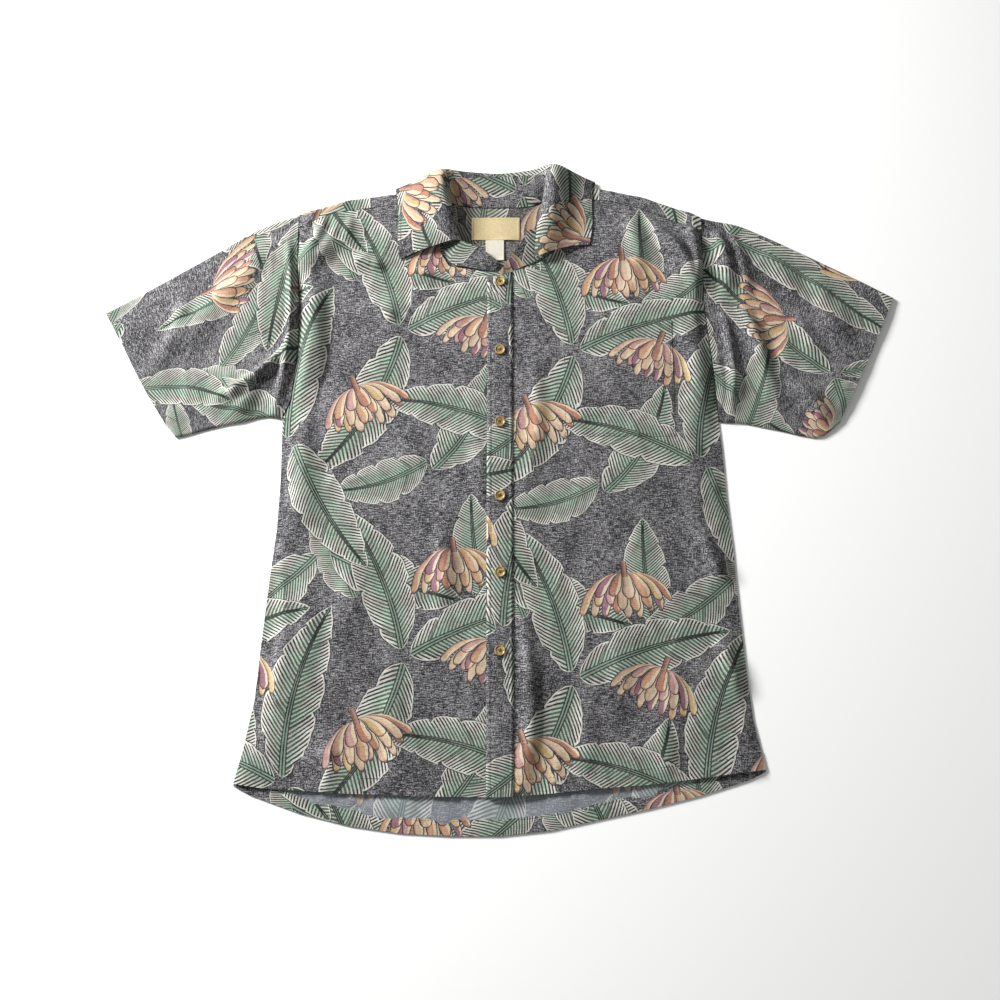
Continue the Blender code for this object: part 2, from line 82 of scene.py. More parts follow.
# Ridges and troughs of the cloth: x and y of both ends, half width, height; a minus height is a trough
frontFolds = [
    (-223, 368, -254, 296, 15, 3.6), (-205, 366, -234, 300, 13, 2.4), (-190, 372, -205, 322, 11, 1.6),
    (-236, 300, -246, 120, 26, 3.4), (-214, 250, -222, 60, 20, -1.4), (-240, 110, -256, -70, 24, 2.2),
    (-183, 311, -143, 297, 9, 2.4), (-176, 250, -128, 232, 16, 1.4), (-120, 345, -96, 250, 20, 1.2),
    (205, 352, 250, 262, 14, 3.8), (184, 372, 232, 268, 12, 2.6), (238, 356, 252, 276, 10, 2.6),
    (250, 232, 262, 104, 10, -1.8), (160, 380, 176, 290, 16, 1.4), (226, 240, 238, 90, 18, 1.6),
    (26, -150, 24, -346, 14, 2.0), (48, -190, 44, -340, 16, -1.0), (40, 180, 34, 20, 14, 1.0),
    (-76, -36, -66, -130, 18, 1.8), (-96, -60, -92, -160, 20, -0.8), (-40, 120, -30, -40, 18, 0.8),
    (236, -44, 262, -102, 12, 2.6), (252, -165, 276, -240, 14, 2.4), (222, -110, 236, -230, 18, -1.0),
    (-258, -90, -270, -300, 18, 2.2), (-232, -120, -244, -280, 20, 1.0), (-180, -60, -196, -230, 26, 0.9),
    (120, -60, 136, -260, 26, 1.0), (90, -240, 96, -340, 18, 1.2), (-130, -230, -120, -345, 20, 1.2),
    (-200, -280, -196, -345, 14, 1.3), (180, -250, 190, -334, 16, 1.2), (100, 70, 190, 60, 22, 0.9),
]
sleeveFolds = [
    (-268, 330, -279, 96, 9, 3.4), (-268, 190, -352, 124, 11, 3.6), (-300, 330, -352, 250, 20, 1.6),
    (-330, 300, -420, 180, 22, 1.4), (-300, 150, -330, 100, 14, 1.6), (-392, 270, -430, 160, 14, 1.2),
    (272, 350, 286, 262, 15, 3.8), (292, 345, 310, 262, 10, 2.2), (300, 250, 330, 120, 14, 2.8),
    (276, 240, 282, 100, 9, 2.6), (340, 320, 372, 250, 20, 1.6), (356, 150, 400, 96, 16, 2.2),
    (390, 290, 420, 200, 18, 1.4), (366, 236, 392, 172, 14, 1.6),
]
crinkle = {"waves": 22, "longest": 120.0, "shortest": 16.0, "slope": 0.019, "crests": 10, "crestHeight": 1.0, "foldGain": 3.2,
           "alongBody": 0.62}


def foldHeight(x, y, rows):
    height = np.zeros_like(x)
    for x0, y0, x1, y1, half, top in rows:
        dx, dy = x1 - x0, y1 - y0
        length = math.hypot(dx, dy)
        share = ((x - x0) * dx + (y - y0) * dy) / length ** 2
        bow = 0.05 * length * np.sin(np.pi * np.clip(share, 0, 1))  # no crease runs dead straight
        side = ((x - x0) * dy - (y - y0) * dx) / length + bow
        width = half * (0.75 + 0.5 * np.clip(share, 0, 1))
        fade = smooth(share, -0.12, 0.3) * (1 - smooth(share, 0.6, 1.12))
        lean = np.where(side > 0, side / width, -side / (1.5 * width))  # steeper on one side
        height = height + crinkle["foldGain"] * top * fade * (1 - smooth(lean, 0, 1)) ** 1.3
    return height


def rumple(x, y, strength=1.0):
    # soft waves in many directions, then short narrow crests between them
    height = np.zeros(np.broadcast(x, y).shape)
    y = y * crinkle["alongBody"]  # creases run longer from collar to hem
    ratio = crinkle["shortest"] / crinkle["longest"]
    for number in range(crinkle["waves"]):
        length = crinkle["longest"] * ratio ** (number / (crinkle["waves"] - 1))
        turn, phase = 2.4 * number, (1.7 * number * number) % 6.28
        run = (x * math.cos(turn) + y * math.sin(turn)) * 6.28 / length
        cross = (y * math.cos(turn) - x * math.sin(turn)) * 6.28 / (1.6 * length)
        height = height + crinkle["slope"] * length / 6.28 * np.sin(run + 1.3 * np.sin(cross + phase) + phase)
    for number in range(crinkle["crests"]):
        length = 62 + 9 * number
        turn, phase = 1.1 + 2.4 * number, (2.3 * number * number) % 6.28
        run = (x * math.cos(turn) + y * math.sin(turn)) * 6.28 / length
        cross = (y * math.cos(turn) - x * math.sin(turn)) * 6.28 / (1.15 * length)
        crest = (1 - np.abs(np.sin(run / 2 + 0.5 * np.sin(cross * 0.9 + phase)))) ** 5
        height = height + crinkle["crestHeight"] * crest * np.clip(np.sin(cross + 2 * phase), 0, 1)
    return strength * height


def pucker(distance, run, height=0.35, reach=7.0):
    # small ripples that a row of stitching draws in beside it
    ripple = np.sin(run * 0.62 + 1.4 * np.sin(run * 0.071) + 0.9 * np.sin(run * 0.19))
    return height * ripple * np.exp(-np.abs(distance) / reach)


def sideX(y, left):
    rows = plan["armholeLeft"] + plan["sideLeft"] if left else plan["armholeRight"] + plan["sideRight"]
    return along(rows, y, key=1)


def lift(x, y):
    ramp = np.clip((y - plan["yokeBackSeam"]) / 35, 0, 1)
    return stack["leafLift"] * ramp * (1 - np.clip((np.abs(x) - 125) / 55, 0, 1))


def frontMid(x, y):
    collar = stack["leafLift"] * smooth(y, 270, 330) * (1 - smooth(np.abs(x), 130, 230))
    hem = stack["hemLift"] * (1 - smooth(y, -300, -250))
    armhole = 2.6 * np.exp(-((sideX(y, True) - x - 15) / 11) ** 2) + 2.0 * np.exp(-((x - sideX(y, False) - 14) / 10) ** 2)
    reach = np.minimum(sideX(y, True) - x, x - sideX(y, False))
    air = stack["air"] * smooth(reach, -2, 52) * smooth(y, -345, -190) * (1 - smooth(y, 200, 300))
    armhole = armhole * smooth(y, 92, 130)  # the cloth stands up beside the sleeve seams
    loose = air + armhole + stack["puff"] * smooth(y, 225, 330) * smooth(np.abs(x), 40, 110)
    loosely = 0.25 + 0.75 * smooth(np.abs(x), 8, 46)  # the buttoned edge lies flatter
    flat = np.maximum(foldHeight(x, y, frontFolds) + rumple(x, y) * loosely + 0.7, 0)
    underLeaf = smooth(y, 288, 308) * (1 - smooth(np.abs(x), 126, 150))  # pressed flat by the collar
    flat = flat * (1 - 0.85 * underLeaf)
    flat = flat + np.maximum(pucker(np.abs(x) - 18, y, 0.3, 9), -flat)
    return stack["layer"] + stack["half"] + collar + hem + loose + flat


def overRise(x):
    return stack["layer"] * (1 - smooth(np.abs(x), 24, 58))


# The print: leaves and hands of fruit on a repeat, in millimetres. stem x, y, angle, length, half width, bend
repeat = (292.0, 404.0)
leaves = [
    (66, 96, 74, 204, 34, 0.25), (58, 92, 164, 176, 31, 0.74), (76, 84, 300, 176, 32, 0.66),
    (214, 232, 18, 186, 33, 0.34), (204, 238, 112, 186, 32, 0.70), (206, 222, 238, 206, 35, 0.22),
    (120, 356, 338, 170, 32, 0.62), (104, 352, 214, 150, 30, 0.36), (244, 50, 62, 158, 31, 0.80),
    (10, 296, 96, 128, 28, 0.40), (236, 60, 196, 120, 27, 0.30), (150, 300, 120, 110, 26, 0.60),
]
fruits = [(150, 158, 292, 64, 0.31), (20, 244, 250, 60, 0.67), (266, 356, 276, 62, 0.12)]


def leafBound(a):
    # half width along a leaf: narrow at the stem, widest before the middle, pointed at the tip
    a = np.clip(a, 0, 1)
    return 2.6 * a ** 0.6 * (1 - a) ** 0.8


def repeated(motifs, u, v):
    # every copy of the motifs that can reach these places
    low = (math.floor(u.min() / repeat[0]) - 1, math.floor(v.min() / repeat[1]) - 1)
    high = (math.ceil(u.max() / repeat[0]) + 1, math.ceil(v.max() / repeat[1]) + 1)
    return np.array([(sx + i * repeat[0], sy + j * repeat[1], math.radians(turn), *rest)
                     for sx, sy, turn, *rest in motifs
                     for i in range(low[0], high[0] + 1) for j in range(low[1], high[1] + 1)])


def leafPlaces(u, v):
    # which three leaves lie topmost over every (u, v)
    found = repeated(leaves, u, v)
    rule = np.full((3, len(u)), -1)
    for index, (sx, sy, turn, length, half, pick) in enumerate(found):
        a = ((u - sx) * math.cos(turn) + (v - sy) * math.sin(turn)) / length
        b = ((v - sy) * math.cos(turn) - (u - sx) * math.sin(turn)) / half
        bent = b + (pick - 0.5) * 1.6 * 4 * a * (1 - a)
        left = (a > -0.03) & (a < 1.04) & (np.abs(bent) < leafBound(a) + 0.14)
        for row in rule:
            free = left & (row < 0)
            row[free] = index
            left = left & ~free
    return rule, found


def localPlace(kind, rule, found, u, v):
    # coordinates of face corners in the motif that rule names for their face
    out = np.full((len(u), 3), -2.0)
    use = rule >= 0
    if not use.any():
        return out
    rows = found[rule[use]]
    du, dv = u[use] - rows[:, 0], v[use] - rows[:, 1]
    turn = rows[:, 2]
    out[use, 0] = (du * np.cos(turn) + dv * np.sin(turn)) / rows[:, 3]
    out[use, 1] = (dv * np.cos(turn) - du * np.sin(turn)) / (rows[:, 4] if kind == "leaf" else rows[:, 3])
    out[use, 2] = rows[:, -1]
    return out


def fruitPlaces(u, v):
    found = repeated(fruits, u, v)
    away = np.array([np.hypot(u - sx, v - sy) / radius for sx, sy, _, radius, _ in found])
    nearest = away.argmin(0)
    return np.where(away.min(0) < 1.25, nearest, -1), found


def addPrint(mesh, uv, faceOf):
    # uv: each corner's place on the flat cloth in millimetres; faceOf: each corner's face
    counts = np.bincount(faceOf)
    centre = np.stack([np.bincount(faceOf, uv[:, k]) / counts for k in (0, 1)], 1)
    rule, found = leafPlaces(centre[:, 0], centre[:, 1])
    fruitRule, fruitFound = fruitPlaces(centre[:, 0], centre[:, 1])
    sets = {name: localPlace("leaf", row[faceOf], found, uv[:, 0], uv[:, 1])
            for name, row in zip(("leafTop", "leafNext", "leafUnder"), rule)}
    sets["fruit"] = localPlace("fruit", fruitRule[faceOf], fruitFound, uv[:, 0], uv[:, 1])
    for name, values in sets.items():
        layer = mesh.attributes.new(name, "FLOAT_VECTOR", "CORNER")
        layer.data.foreach_set("vector", values.astype(np.float32).ravel())


def makeShell(name, mid, uv, material, thick=None, keep=None, ring=False, insideRows=0):
    # a closed thin wall from a grid of mid-surface points (columns, rows, 3) and their flat places (columns, rows, 2)
    thick = stack["cloth"] if thick is None else thick
    columns, rows = mid.shape[:2]
    if ring:
        before, after = np.roll(mid, 1, 1), np.roll(mid, -1, 1)
        across = after - before
    else:
        across = np.gradient(mid, axis=1)
    lengthways = np.gradient(mid, axis=0)
    normal = np.cross(lengthways, across)
    normal /= np.maximum(np.linalg.norm(normal, axis=2, keepdims=True), 1e-9)
    upper = mid + normal * thick / 2
    lower = mid - normal * thick / 2
    upper[..., 2] = np.maximum(upper[..., 2], 0.02)
    lower[..., 2] = np.maximum(lower[..., 2], 0.0)
    wide = rows if ring else rows - 1
    i, j = np.meshgrid(np.arange(columns - 1), np.arange(wide), indexing="ij")
    if keep is not None:
        i, j = i[keep], j[keep]
    i, j = i.ravel(), j.ravel()
    nextJ = (j + 1) % rows
    a, b, c, d = i * rows + j, (i + 1) * rows + j, (i + 1) * rows + nextJ, i * rows + nextJ
    total = columns * rows
    quads = np.stack([a, b, c, d], 1)
    flatUv = [uv.reshape(-1, 2)]
    cornerPlace = np.concatenate([quads, quads[:, [0, 3, 2, 1]]])
    faces = np.concatenate([quads, quads[:, [0, 3, 2, 1]] + total])
    ends = np.concatenate([quads[:, [k, (k + 1) % 4]] for k in range(4)])
    key = ends[:, 0].astype(np.int64) * total + ends[:, 1]
    back = ends[:, 1].astype(np.int64) * total + ends[:, 0]
    rim = ends[~np.isin(key, back)]
    rimFaces = np.stack([rim[:, 1], rim[:, 0], rim[:, 0] + total, rim[:, 1] + total], 1)
    rimPlace = np.stack([rim[:, 1], rim[:, 0], rim[:, 0], rim[:, 1]], 1)
    faces = np.concatenate([faces, rimFaces])
    cornerPlace = np.concatenate([cornerPlace, rimPlace])
    points = np.concatenate([upper.reshape(-1, 3), lower.reshape(-1, 3)])
    used = np.unique(faces)
    place = np.zeros(len(points), int)
    place[used] = np.arange(len(used))
    points = points[used]
    points = np.stack([points[:, 0], points[:, 1] + dropY, points[:, 2]], 1) * 0.001
    mesh = bpy.data.meshes.new(name)
    mesh.from_pydata(points.tolist(), [], place[faces].tolist())
    cornerUv = flatUv[0][cornerPlace.ravel()]
    if ring:  # the last cell of a ring runs on, so its far corners carry on the count
        wrap = np.concatenate([nextJ < j] * 2 + [np.zeros(len(rimFaces), bool)])
        span = uv[0, -1] - uv[0, 0] + (uv[0, 1] - uv[0, 0])
        cornerUv = cornerUv.reshape(-1, 4, 2)
        first = np.concatenate([np.tile([False, False, True, True], (len(quads), 1)),
                                np.tile([False, True, True, False], (len(quads), 1)),
                                np.zeros((len(rimFaces), 4), bool)])
        cornerUv[first & wrap[:, None]] += span
        cornerUv = cornerUv.reshape(-1, 2)
    layer = mesh.uv_layers.new(name="clothUv")
    layer.data.foreach_set("uv", (cornerUv * 0.001).astype(np.float32).ravel())
    mesh.validate()
    mesh.materials.append(material)
    if material.name.startswith("print"):
        addPrint(mesh, cornerUv, np.repeat(np.arange(len(faces)), 4))
    if insideRows:  # rows whose inner face shows, in the neck print darkened as painted shade
        mesh.materials.append(printNeckShaded)
        which = np.zeros(len(mesh.polygons), np.int32)
        which[:len(quads)][j < insideRows] = 1
        mesh.polygons.foreach_set("material_index", which)
    mesh.shade_smooth()
    mesh.set_sharp_from_angle(angle=math.radians(60))
    piece = bpy.data.objects.new(name, mesh)
    bpy.context.scene.collection.objects.link(piece)
    return piece


# ---- materials


def nodeTools(tree):
    def calc(operation, a, b=None, c=None, clamp=False):
        node = tree.nodes.new("ShaderNodeMath")
        node.operation = operation
        node.use_clamp = clamp
        for slot, value in zip(node.inputs, (a, b, c)):
            if value is None:
                continue
            if isinstance(value, (int, float)):
                slot.default_value = value
            else:
                tree.links.new(value, slot)
        return node.outputs[0]

    def mix(share, first, second):
        node = tree.nodes.new("ShaderNodeMix")
        node.data_type = "RGBA"
        for slot, value in ((node.inputs[0], share), (node.inputs[6], first), (node.inputs[7], second)):
            if isinstance(value, tuple):
                slot.default_value = (*value, 1)
            elif isinstance(value, (int, float)):
                slot.default_value = value
            else:
                tree.links.new(value, slot)
        return node.outputs[2]

    def step(value, low, high):
        node = tree.nodes.new("ShaderNodeMapRange")
        node.interpolation_type = "SMOOTHSTEP"
        tree.links.new(value, node.inputs[0])
        node.inputs[1].default_value = low
        node.inputs[2].default_value = high
        return node.outputs[0]

    return calc, mix, step


def noiseNode(tree, vector, scale, detail=2, stretch=None, rough=0.5):
    if stretch:
        mapping = tree.nodes.new("ShaderNodeMapping")
        mapping.inputs["Scale"].default_value = stretch
        tree.links.new(vector, mapping.inputs[0])
        vector = mapping.outputs[0]
    node = tree.nodes.new("ShaderNodeTexNoise")
    node.inputs["Scale"].default_value = scale
    node.inputs["Detail"].default_value = detail
    node.inputs["Roughness"].default_value = rough
    tree.links.new(vector, node.inputs["Vector"])
    return node.outputs["Fac"]


printInks = {
    "ground": (0.014, 0.013, 0.015), "fleck": (0.385, 0.375, 0.385), "line": (0.015, 0.017, 0.015),
    "cream": (0.58, 0.58, 0.52), "pale": (0.31, 0.39, 0.31), "sage": (0.085, 0.140, 0.096),
    "shade": (0.040, 0.066, 0.047), "rose": (0.47, 0.36, 0.35), "veins": 37.0, "slant": 0.125,
}


def leafGroup():
    tree = bpy.data.node_groups.new("leafMotif", "ShaderNodeTree")
    tree.interface.new_socket("Place", in_out="INPUT", socket_type="NodeSocketVector")
    tree.interface.new_socket("Grain", in_out="INPUT", socket_type="NodeSocketFloat")
    tree.interface.new_socket("Ink", in_out="OUTPUT", socket_type="NodeSocketColor")
    tree.interface.new_socket("Cover", in_out="OUTPUT", socket_type="NodeSocketFloat")
    start, end = tree.nodes.new("NodeGroupInput"), tree.nodes.new("NodeGroupOutput")
    calc, mix, step = nodeTools(tree)
    split = tree.nodes.new("ShaderNodeSeparateXYZ")
    tree.links.new(start.outputs["Place"], split.inputs[0])
    a, b, pick = split.outputs
    arch = calc("MULTIPLY", calc("MULTIPLY", a, calc("SUBTRACT", 1.0, a)), 4.0)
    bent = calc("ADD", b, calc("MULTIPLY", calc("MULTIPLY", calc("SUBTRACT", pick, 0.5), 1.6), arch))
    out = calc("ABSOLUTE", bent)
    lean = calc("ADD", 1.0, calc("MULTIPLY", out, 0.35))
    way = calc("SUBTRACT", a, calc("MULTIPLY", calc("MULTIPLY", out, lean), printInks["slant"]))  # along the veins
    side = calc("MULTIPLY", calc("SIGN", bent), 0.37)
    torn = calc("FRACT", calc("ADD", calc("ADD", calc("MULTIPLY", way, 4.3), calc("MULTIPLY", pick, 9.0)), side))
    safe = calc("MAXIMUM", calc("MINIMUM", a, 1.0), 0.0)
    full = calc("MULTIPLY", calc("POWER", safe, 0.6), calc("POWER", calc("SUBTRACT", 1.0, safe), 0.8))
    full = calc("MULTIPLY", full, 2.6)
    width = calc("MULTIPLY", full, calc("SUBTRACT", 1.0, calc("MULTIPLY", calc("POWER", torn, 5.0), 0.17)))
    width = calc("ADD", width, calc("MULTIPLY", calc("SUBTRACT", start.outputs["Grain"], 0.5), 0.18))
    wide = calc("SUBTRACT", width, out)
    cover = calc("MULTIPLY", step(wide, -0.01, 0.01), calc("GREATER_THAN", a, 0.0))
    cover = calc("MULTIPLY", cover, calc("LESS_THAN", a, 1.0))
    drift = calc("MULTIPLY", start.outputs["Grain"], 0.55)
    wave = calc("FRACT", calc("ADD", calc("MULTIPLY", way, printInks["veins"]), drift))
    wave = calc("ABSOLUTE", calc("SUBTRACT", wave, 0.5))
    inner = calc("SUBTRACT", 1.0, calc("DIVIDE", out, calc("MAXIMUM", width, 0.05)), clamp=True)
    thin = calc("ADD", calc("MULTIPLY", start.outputs["Grain"], 0.12), calc("MULTIPLY", inner, 0.07))
    thin = calc("ADD", thin, 0.12)
    light = step(calc("SUBTRACT", wave, thin), 0.0, 0.09)
    blush = step(calc("ADD", start.outputs["Grain"], calc("MULTIPLY", torn, 0.15)), 0.50, 0.66)
    stripe = mix(step(inner, 0.05, 0.75), printInks["cream"], printInks["pale"])
    stripe = mix(calc("MULTIPLY", blush, 0.45), stripe, printInks["rose"])
    gapInk = mix(step(inner, 0.05, 0.80), printInks["line"], printInks["shade"])
    gapInk = mix(calc("MULTIPLY", step(inner, 0.30, 0.90), 0.5), gapInk, printInks["sage"])
    ink = mix(light, gapInk, stripe)
    ink = mix(calc("MULTIPLY", calc("GREATER_THAN", torn, 0.965), 0.8), ink, printInks["line"])
    offRib = calc("SUBTRACT", out, calc("MULTIPLY", calc("SUBTRACT", 1.08, a), 0.085))
    ink = mix(calc("SUBTRACT", 1.0, step(offRib, 0.030, 0.055)), ink, printInks["line"])
    ink = mix(calc("SUBTRACT", 1.0, step(offRib, -0.01, 0.01)), ink, (0.19, 0.26, 0.20))
    ink = mix(calc("MULTIPLY", calc("SUBTRACT", 1.0, step(out, 0.015, 0.035)), calc("LESS_THAN", a, 0.93)), ink, printInks["line"])
    ink = mix(calc("MULTIPLY", calc("SUBTRACT", 1.0, step(wide, 0.055, 0.085)), 0.75), ink, printInks["cream"])
    ink = mix(calc("SUBTRACT", 1.0, step(wide, 0.018, 0.035)), ink, printInks["line"])
    tree.links.new(ink, end.inputs["Ink"])
    tree.links.new(cover, end.inputs["Cover"])
    return tree


fruitTones = [(0.0, (0.46, 0.27, 0.16)), (0.22, (0.50, 0.37, 0.25)), (0.44, (0.25, 0.12, 0.16)),
              (0.56, (0.47, 0.34, 0.16)), (0.76, (0.36, 0.17, 0.11)), (0.86, (0.42, 0.25, 0.22))]


def fruitGroup():
    tree = bpy.data.node_groups.new("fruitMotif", "ShaderNodeTree")
    tree.interface.new_socket("Place", in_out="INPUT", socket_type="NodeSocketVector")
    tree.interface.new_socket("Grain", in_out="INPUT", socket_type="NodeSocketFloat")
    tree.interface.new_socket("Ink", in_out="OUTPUT", socket_type="NodeSocketColor")
    tree.interface.new_socket("Cover", in_out="OUTPUT", socket_type="NodeSocketFloat")
    start, end = tree.nodes.new("NodeGroupInput"), tree.nodes.new("NodeGroupOutput")
    calc, mix, step = nodeTools(tree)
    split = tree.nodes.new("ShaderNodeSeparateXYZ")
    tree.links.new(start.outputs["Place"], split.inputs[0])
    x, y, pick = split.outputs
    down = calc("MINIMUM", calc("MAXIMUM", x, 0.0), 1.0)
    over = calc("SUBTRACT", 1.0, down)
    dome = calc("SQRT", calc("MAXIMUM", calc("SUBTRACT", 1.0, calc("MULTIPLY", over, over)), 0.0))
    dome = calc("ADD", 0.10, calc("MULTIPLY", dome, 0.82))  # the fingers leave the stalk sideways and hang down
    spread = calc("DIVIDE", y, dome)
    spread = calc("ADD", spread, calc("MULTIPLY", calc("SUBTRACT", start.outputs["Grain"], 0.5), 0.12))
    ink, cover = None, None
    for fingers, reach, shift, limit in ((4.2, 1.0, 0.0, 1.06), (3.6, 0.80, 0.37, 0.92), (2.7, 0.56, 0.8, 0.74)):
        place = calc("ADD", calc("MULTIPLY", spread, fingers), shift)
        number = calc("ROUND", place)
        off = calc("MULTIPLY", calc("SUBTRACT", place, number), 2.0)  # -1..1 across one finger
        draw = calc("SINE", calc("ADD", calc("MULTIPLY", number, 12.7), calc("MULTIPLY", pick, 78.0 + fingers)))
        chance = calc("FRACT", calc("MULTIPLY", draw, 43.7))
        root = calc("DIVIDE", calc("SUBTRACT", number, shift), fingers)
        fall = calc("MULTIPLY", calc("MULTIPLY", root, root), 0.20)
        length = calc("MULTIPLY", calc("SUBTRACT", calc("SUBTRACT", 1.0, fall), calc("MULTIPLY", chance, 0.22)), reach)
        share = calc("DIVIDE", x, length)
        taper = calc("POWER", calc("MAXIMUM", calc("SUBTRACT", 1.0, calc("POWER", calc("ABSOLUTE", share), 7.0)), 0.0), 0.7)
        nose = calc("SUBTRACT", taper, calc("ABSOLUTE", off))
        mask = calc("MULTIPLY", step(nose, 0.0, 0.06), calc("LESS_THAN", calc("ABSOLUTE", root), limit))
        mask = calc("MULTIPLY", mask, calc("MULTIPLY", calc("LESS_THAN", share, 1.0), calc("GREATER_THAN", x, 0.0)))
        ramp = tree.nodes.new("ShaderNodeValToRGB")
        ramp.color_ramp.interpolation = "CONSTANT"
        while len(ramp.color_ramp.elements) < len(fruitTones):
            ramp.color_ramp.elements.new(0.5)
        for element, (at, tone) in zip(ramp.color_ramp.elements, fruitTones):
            element.position = at
            element.color = (*tone, 1)
        tree.links.new(chance, ramp.inputs[0])
        streak = calc("ADD", off, calc("MULTIPLY", start.outputs["Grain"], 0.5))
        tone = mix(step(streak, 0.40, 0.60), ramp.outputs[0], (0.56, 0.46, 0.33))
        tone = mix(calc("MULTIPLY", calc("SUBTRACT", 1.0, step(streak, -0.30, -0.12)), 0.55), tone, (0.25, 0.11, 0.13))
        tone = mix(step(share, 0.90, 0.97), tone, (0.16, 0.08, 0.06))
        tone = mix(calc("SUBTRACT", 1.0, step(nose, 0.14, 0.26)), tone, (0.035, 0.025, 0.028))
        if ink is None:
            ink, cover = tone, mask
        else:
            ink, cover = mix(mask, ink, tone), calc("MAXIMUM", cover, mask)
    stalk = calc("MULTIPLY", calc("LESS_THAN", calc("ABSOLUTE", y), 0.062),
                 calc("MULTIPLY", calc("LESS_THAN", x, 0.08), calc("GREATER_THAN", x, -0.22)))
    stalkInk = mix(step(y, -0.03, 0.03), (0.15, 0.07, 0.055), (0.34, 0.20, 0.14))
    stalkInk = mix(calc("GREATER_THAN", calc("ABSOLUTE", y), 0.047), stalkInk, (0.04, 0.025, 0.025))
    ink = mix(stalk, ink, stalkInk)
    cover = calc("MAXIMUM", cover, stalk)
    tree.links.new(ink, end.inputs["Ink"])
    tree.links.new(cover, end.inputs["Cover"])
    return tree


def printMaterial(name, leafMotif, fruitMotif, fade=0.0, tintAndShade=(0.36, 0.40, 0.44)):
    material = bpy.data.materials.new(name)
    material.use_nodes = True
    tree = material.node_tree
    shader = tree.nodes["Principled BSDF"]
    calc, mix, step = nodeTools(tree)
    uv = tree.nodes.new("ShaderNodeUVMap")
    uv.uv_map = "clothUv"
    flat = uv.outputs[0]
    heather = noiseNode(tree, flat, 620, 2, (1, 1.25, 1), 0.8)
    slub = noiseNode(tree, flat, 420, 2, (0.28, 1.9, 1), 0.75)  # longer flecks along the weft
    upright = noiseNode(tree, flat, 420, 2, (2.1, 0.30, 1), 0.7)
    cloud = noiseNode(tree, flat, 24, 3)
    grain = noiseNode(tree, flat, 60, 2)
    fleck = calc("ADD", calc("MULTIPLY", heather, 0.42), calc("MULTIPLY", slub, 0.38))
    fleck = calc("ADD", fleck, calc("MULTIPLY", upright, 0.20))
    fleck = calc("ADD", fleck, calc("MULTIPLY", calc("SUBTRACT", cloud, 0.5), 0.10))
    color = mix(step(fleck, 0.455, 0.625), printInks["ground"], printInks["fleck"])
    for attribute, motif in (("leafUnder", leafMotif), ("leafNext", leafMotif),
                             ("leafTop", leafMotif), ("fruit", fruitMotif)):
        read = tree.nodes.new("ShaderNodeAttribute")
        read.attribute_name = attribute
        group = tree.nodes.new("ShaderNodeGroup")
        group.node_tree = motif
        tree.links.new(read.outputs["Vector"], group.inputs["Place"])
        tree.links.new(grain, group.inputs["Grain"])
        worn = calc("MULTIPLY", group.outputs["Cover"], calc("SUBTRACT", 1.0, calc("MULTIPLY", step(fleck, 0.52, 0.60), 0.38)))
        color = mix(worn, color, group.outputs["Ink"])
    color = mix(calc("MULTIPLY", calc("SUBTRACT", 1.0, step(fleck, 0.42, 0.50)), 0.42), color, (0.02, 0.02, 0.024))
    # a share of the colour goes to the tint: on the inside of the back the paler reverse of the print, on the inside of
    # the neck painted shade
    if fade:
        color = mix(fade, color, tintAndShade)
    tree.links.new(color, shader.inputs["Base Color"])
    shader.inputs["Roughness"].default_value = 0.88
    shader.inputs["Sheen Weight"].default_value = 0.03
    shader.inputs["Sheen Roughness"].default_value = 0.6
    shader.inputs["Specular IOR Level"].default_value = 0.12
    weave = calc("ADD", heather, calc("MULTIPLY", slub, 0.8))
    bump = tree.nodes.new("ShaderNodeBump")
    bump.inputs["Strength"].default_value = 0.35
    bump.inputs["Distance"].default_value = 0.0004
    tree.links.new(weave, bump.inputs["Height"])
    tree.links.new(bump.outputs[0], shader.inputs["Normal"])
    return material


def plainMaterial(name, base, dark, scale, roughness, stretch=(1, 1, 1), bumpHeight=0.0002):
    material = bpy.data.materials.new(name)
    material.use_nodes = True
    tree = material.node_tree
    shader = tree.nodes["Principled BSDF"]
    calc, mix, step = nodeTools(tree)
    place = tree.nodes.new("ShaderNodeTexCoord").outputs["Object"]
    figure = noiseNode(tree, place, scale, 4, stretch, 0.65)
    tree.links.new(mix(step(figure, 0.35, 0.68), dark, base), shader.inputs["Base Color"])
    shader.inputs["Roughness"].default_value = roughness
    bump = tree.nodes.new("ShaderNodeBump")
    bump.inputs["Strength"].default_value = 0.4
    bump.inputs["Distance"].default_value = bumpHeight
    tree.links.new(figure, bump.inputs["Height"])
    tree.links.new(bump.outputs[0], shader.inputs["Normal"])
    return material


leafMotif, fruitMotif = leafGroup(), fruitGroup()
printCloth = printMaterial("printCloth", leafMotif, fruitMotif)
printInside = printMaterial("printInside", leafMotif, fruitMotif, fade=0.38, tintAndShade=(0.36, 0.40, 0.44))
# the print on the inside of the neck, darkened towards brown as painted shade
printNeckShaded = printMaterial("printNeckShaded", leafMotif, fruitMotif, fade=0.30, tintAndShade=(0.10, 0.088, 0.068))
labelCloth = plainMaterial("labelCloth", (0.56, 0.46, 0.26), (0.40, 0.32, 0.17), 1100, 0.55, (0.35, 2.2, 1))
tabCloth = plainMaterial("tabCloth", (0.60, 0.57, 0.48), (0.47, 0.44, 0.36), 1100, 0.6, (0.35, 2.2, 1))
shellButton = plainMaterial("shellButton", (0.46, 0.33, 0.12), (0.16, 0.09, 0.03), 220, 0.32)
threadDark = plainMaterial("threadDark", (0.085, 0.085, 0.095), (0.03, 0.03, 0.035), 1500, 0.8)
threadPale = plainMaterial("threadPale", (0.40, 0.31, 0.17), (0.26, 0.20, 0.10), 1500, 0.8)
print("materials made")


# ---- cloth pieces


def declare(piece, nodes):
    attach(piece, "root")
    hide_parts(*nodes)


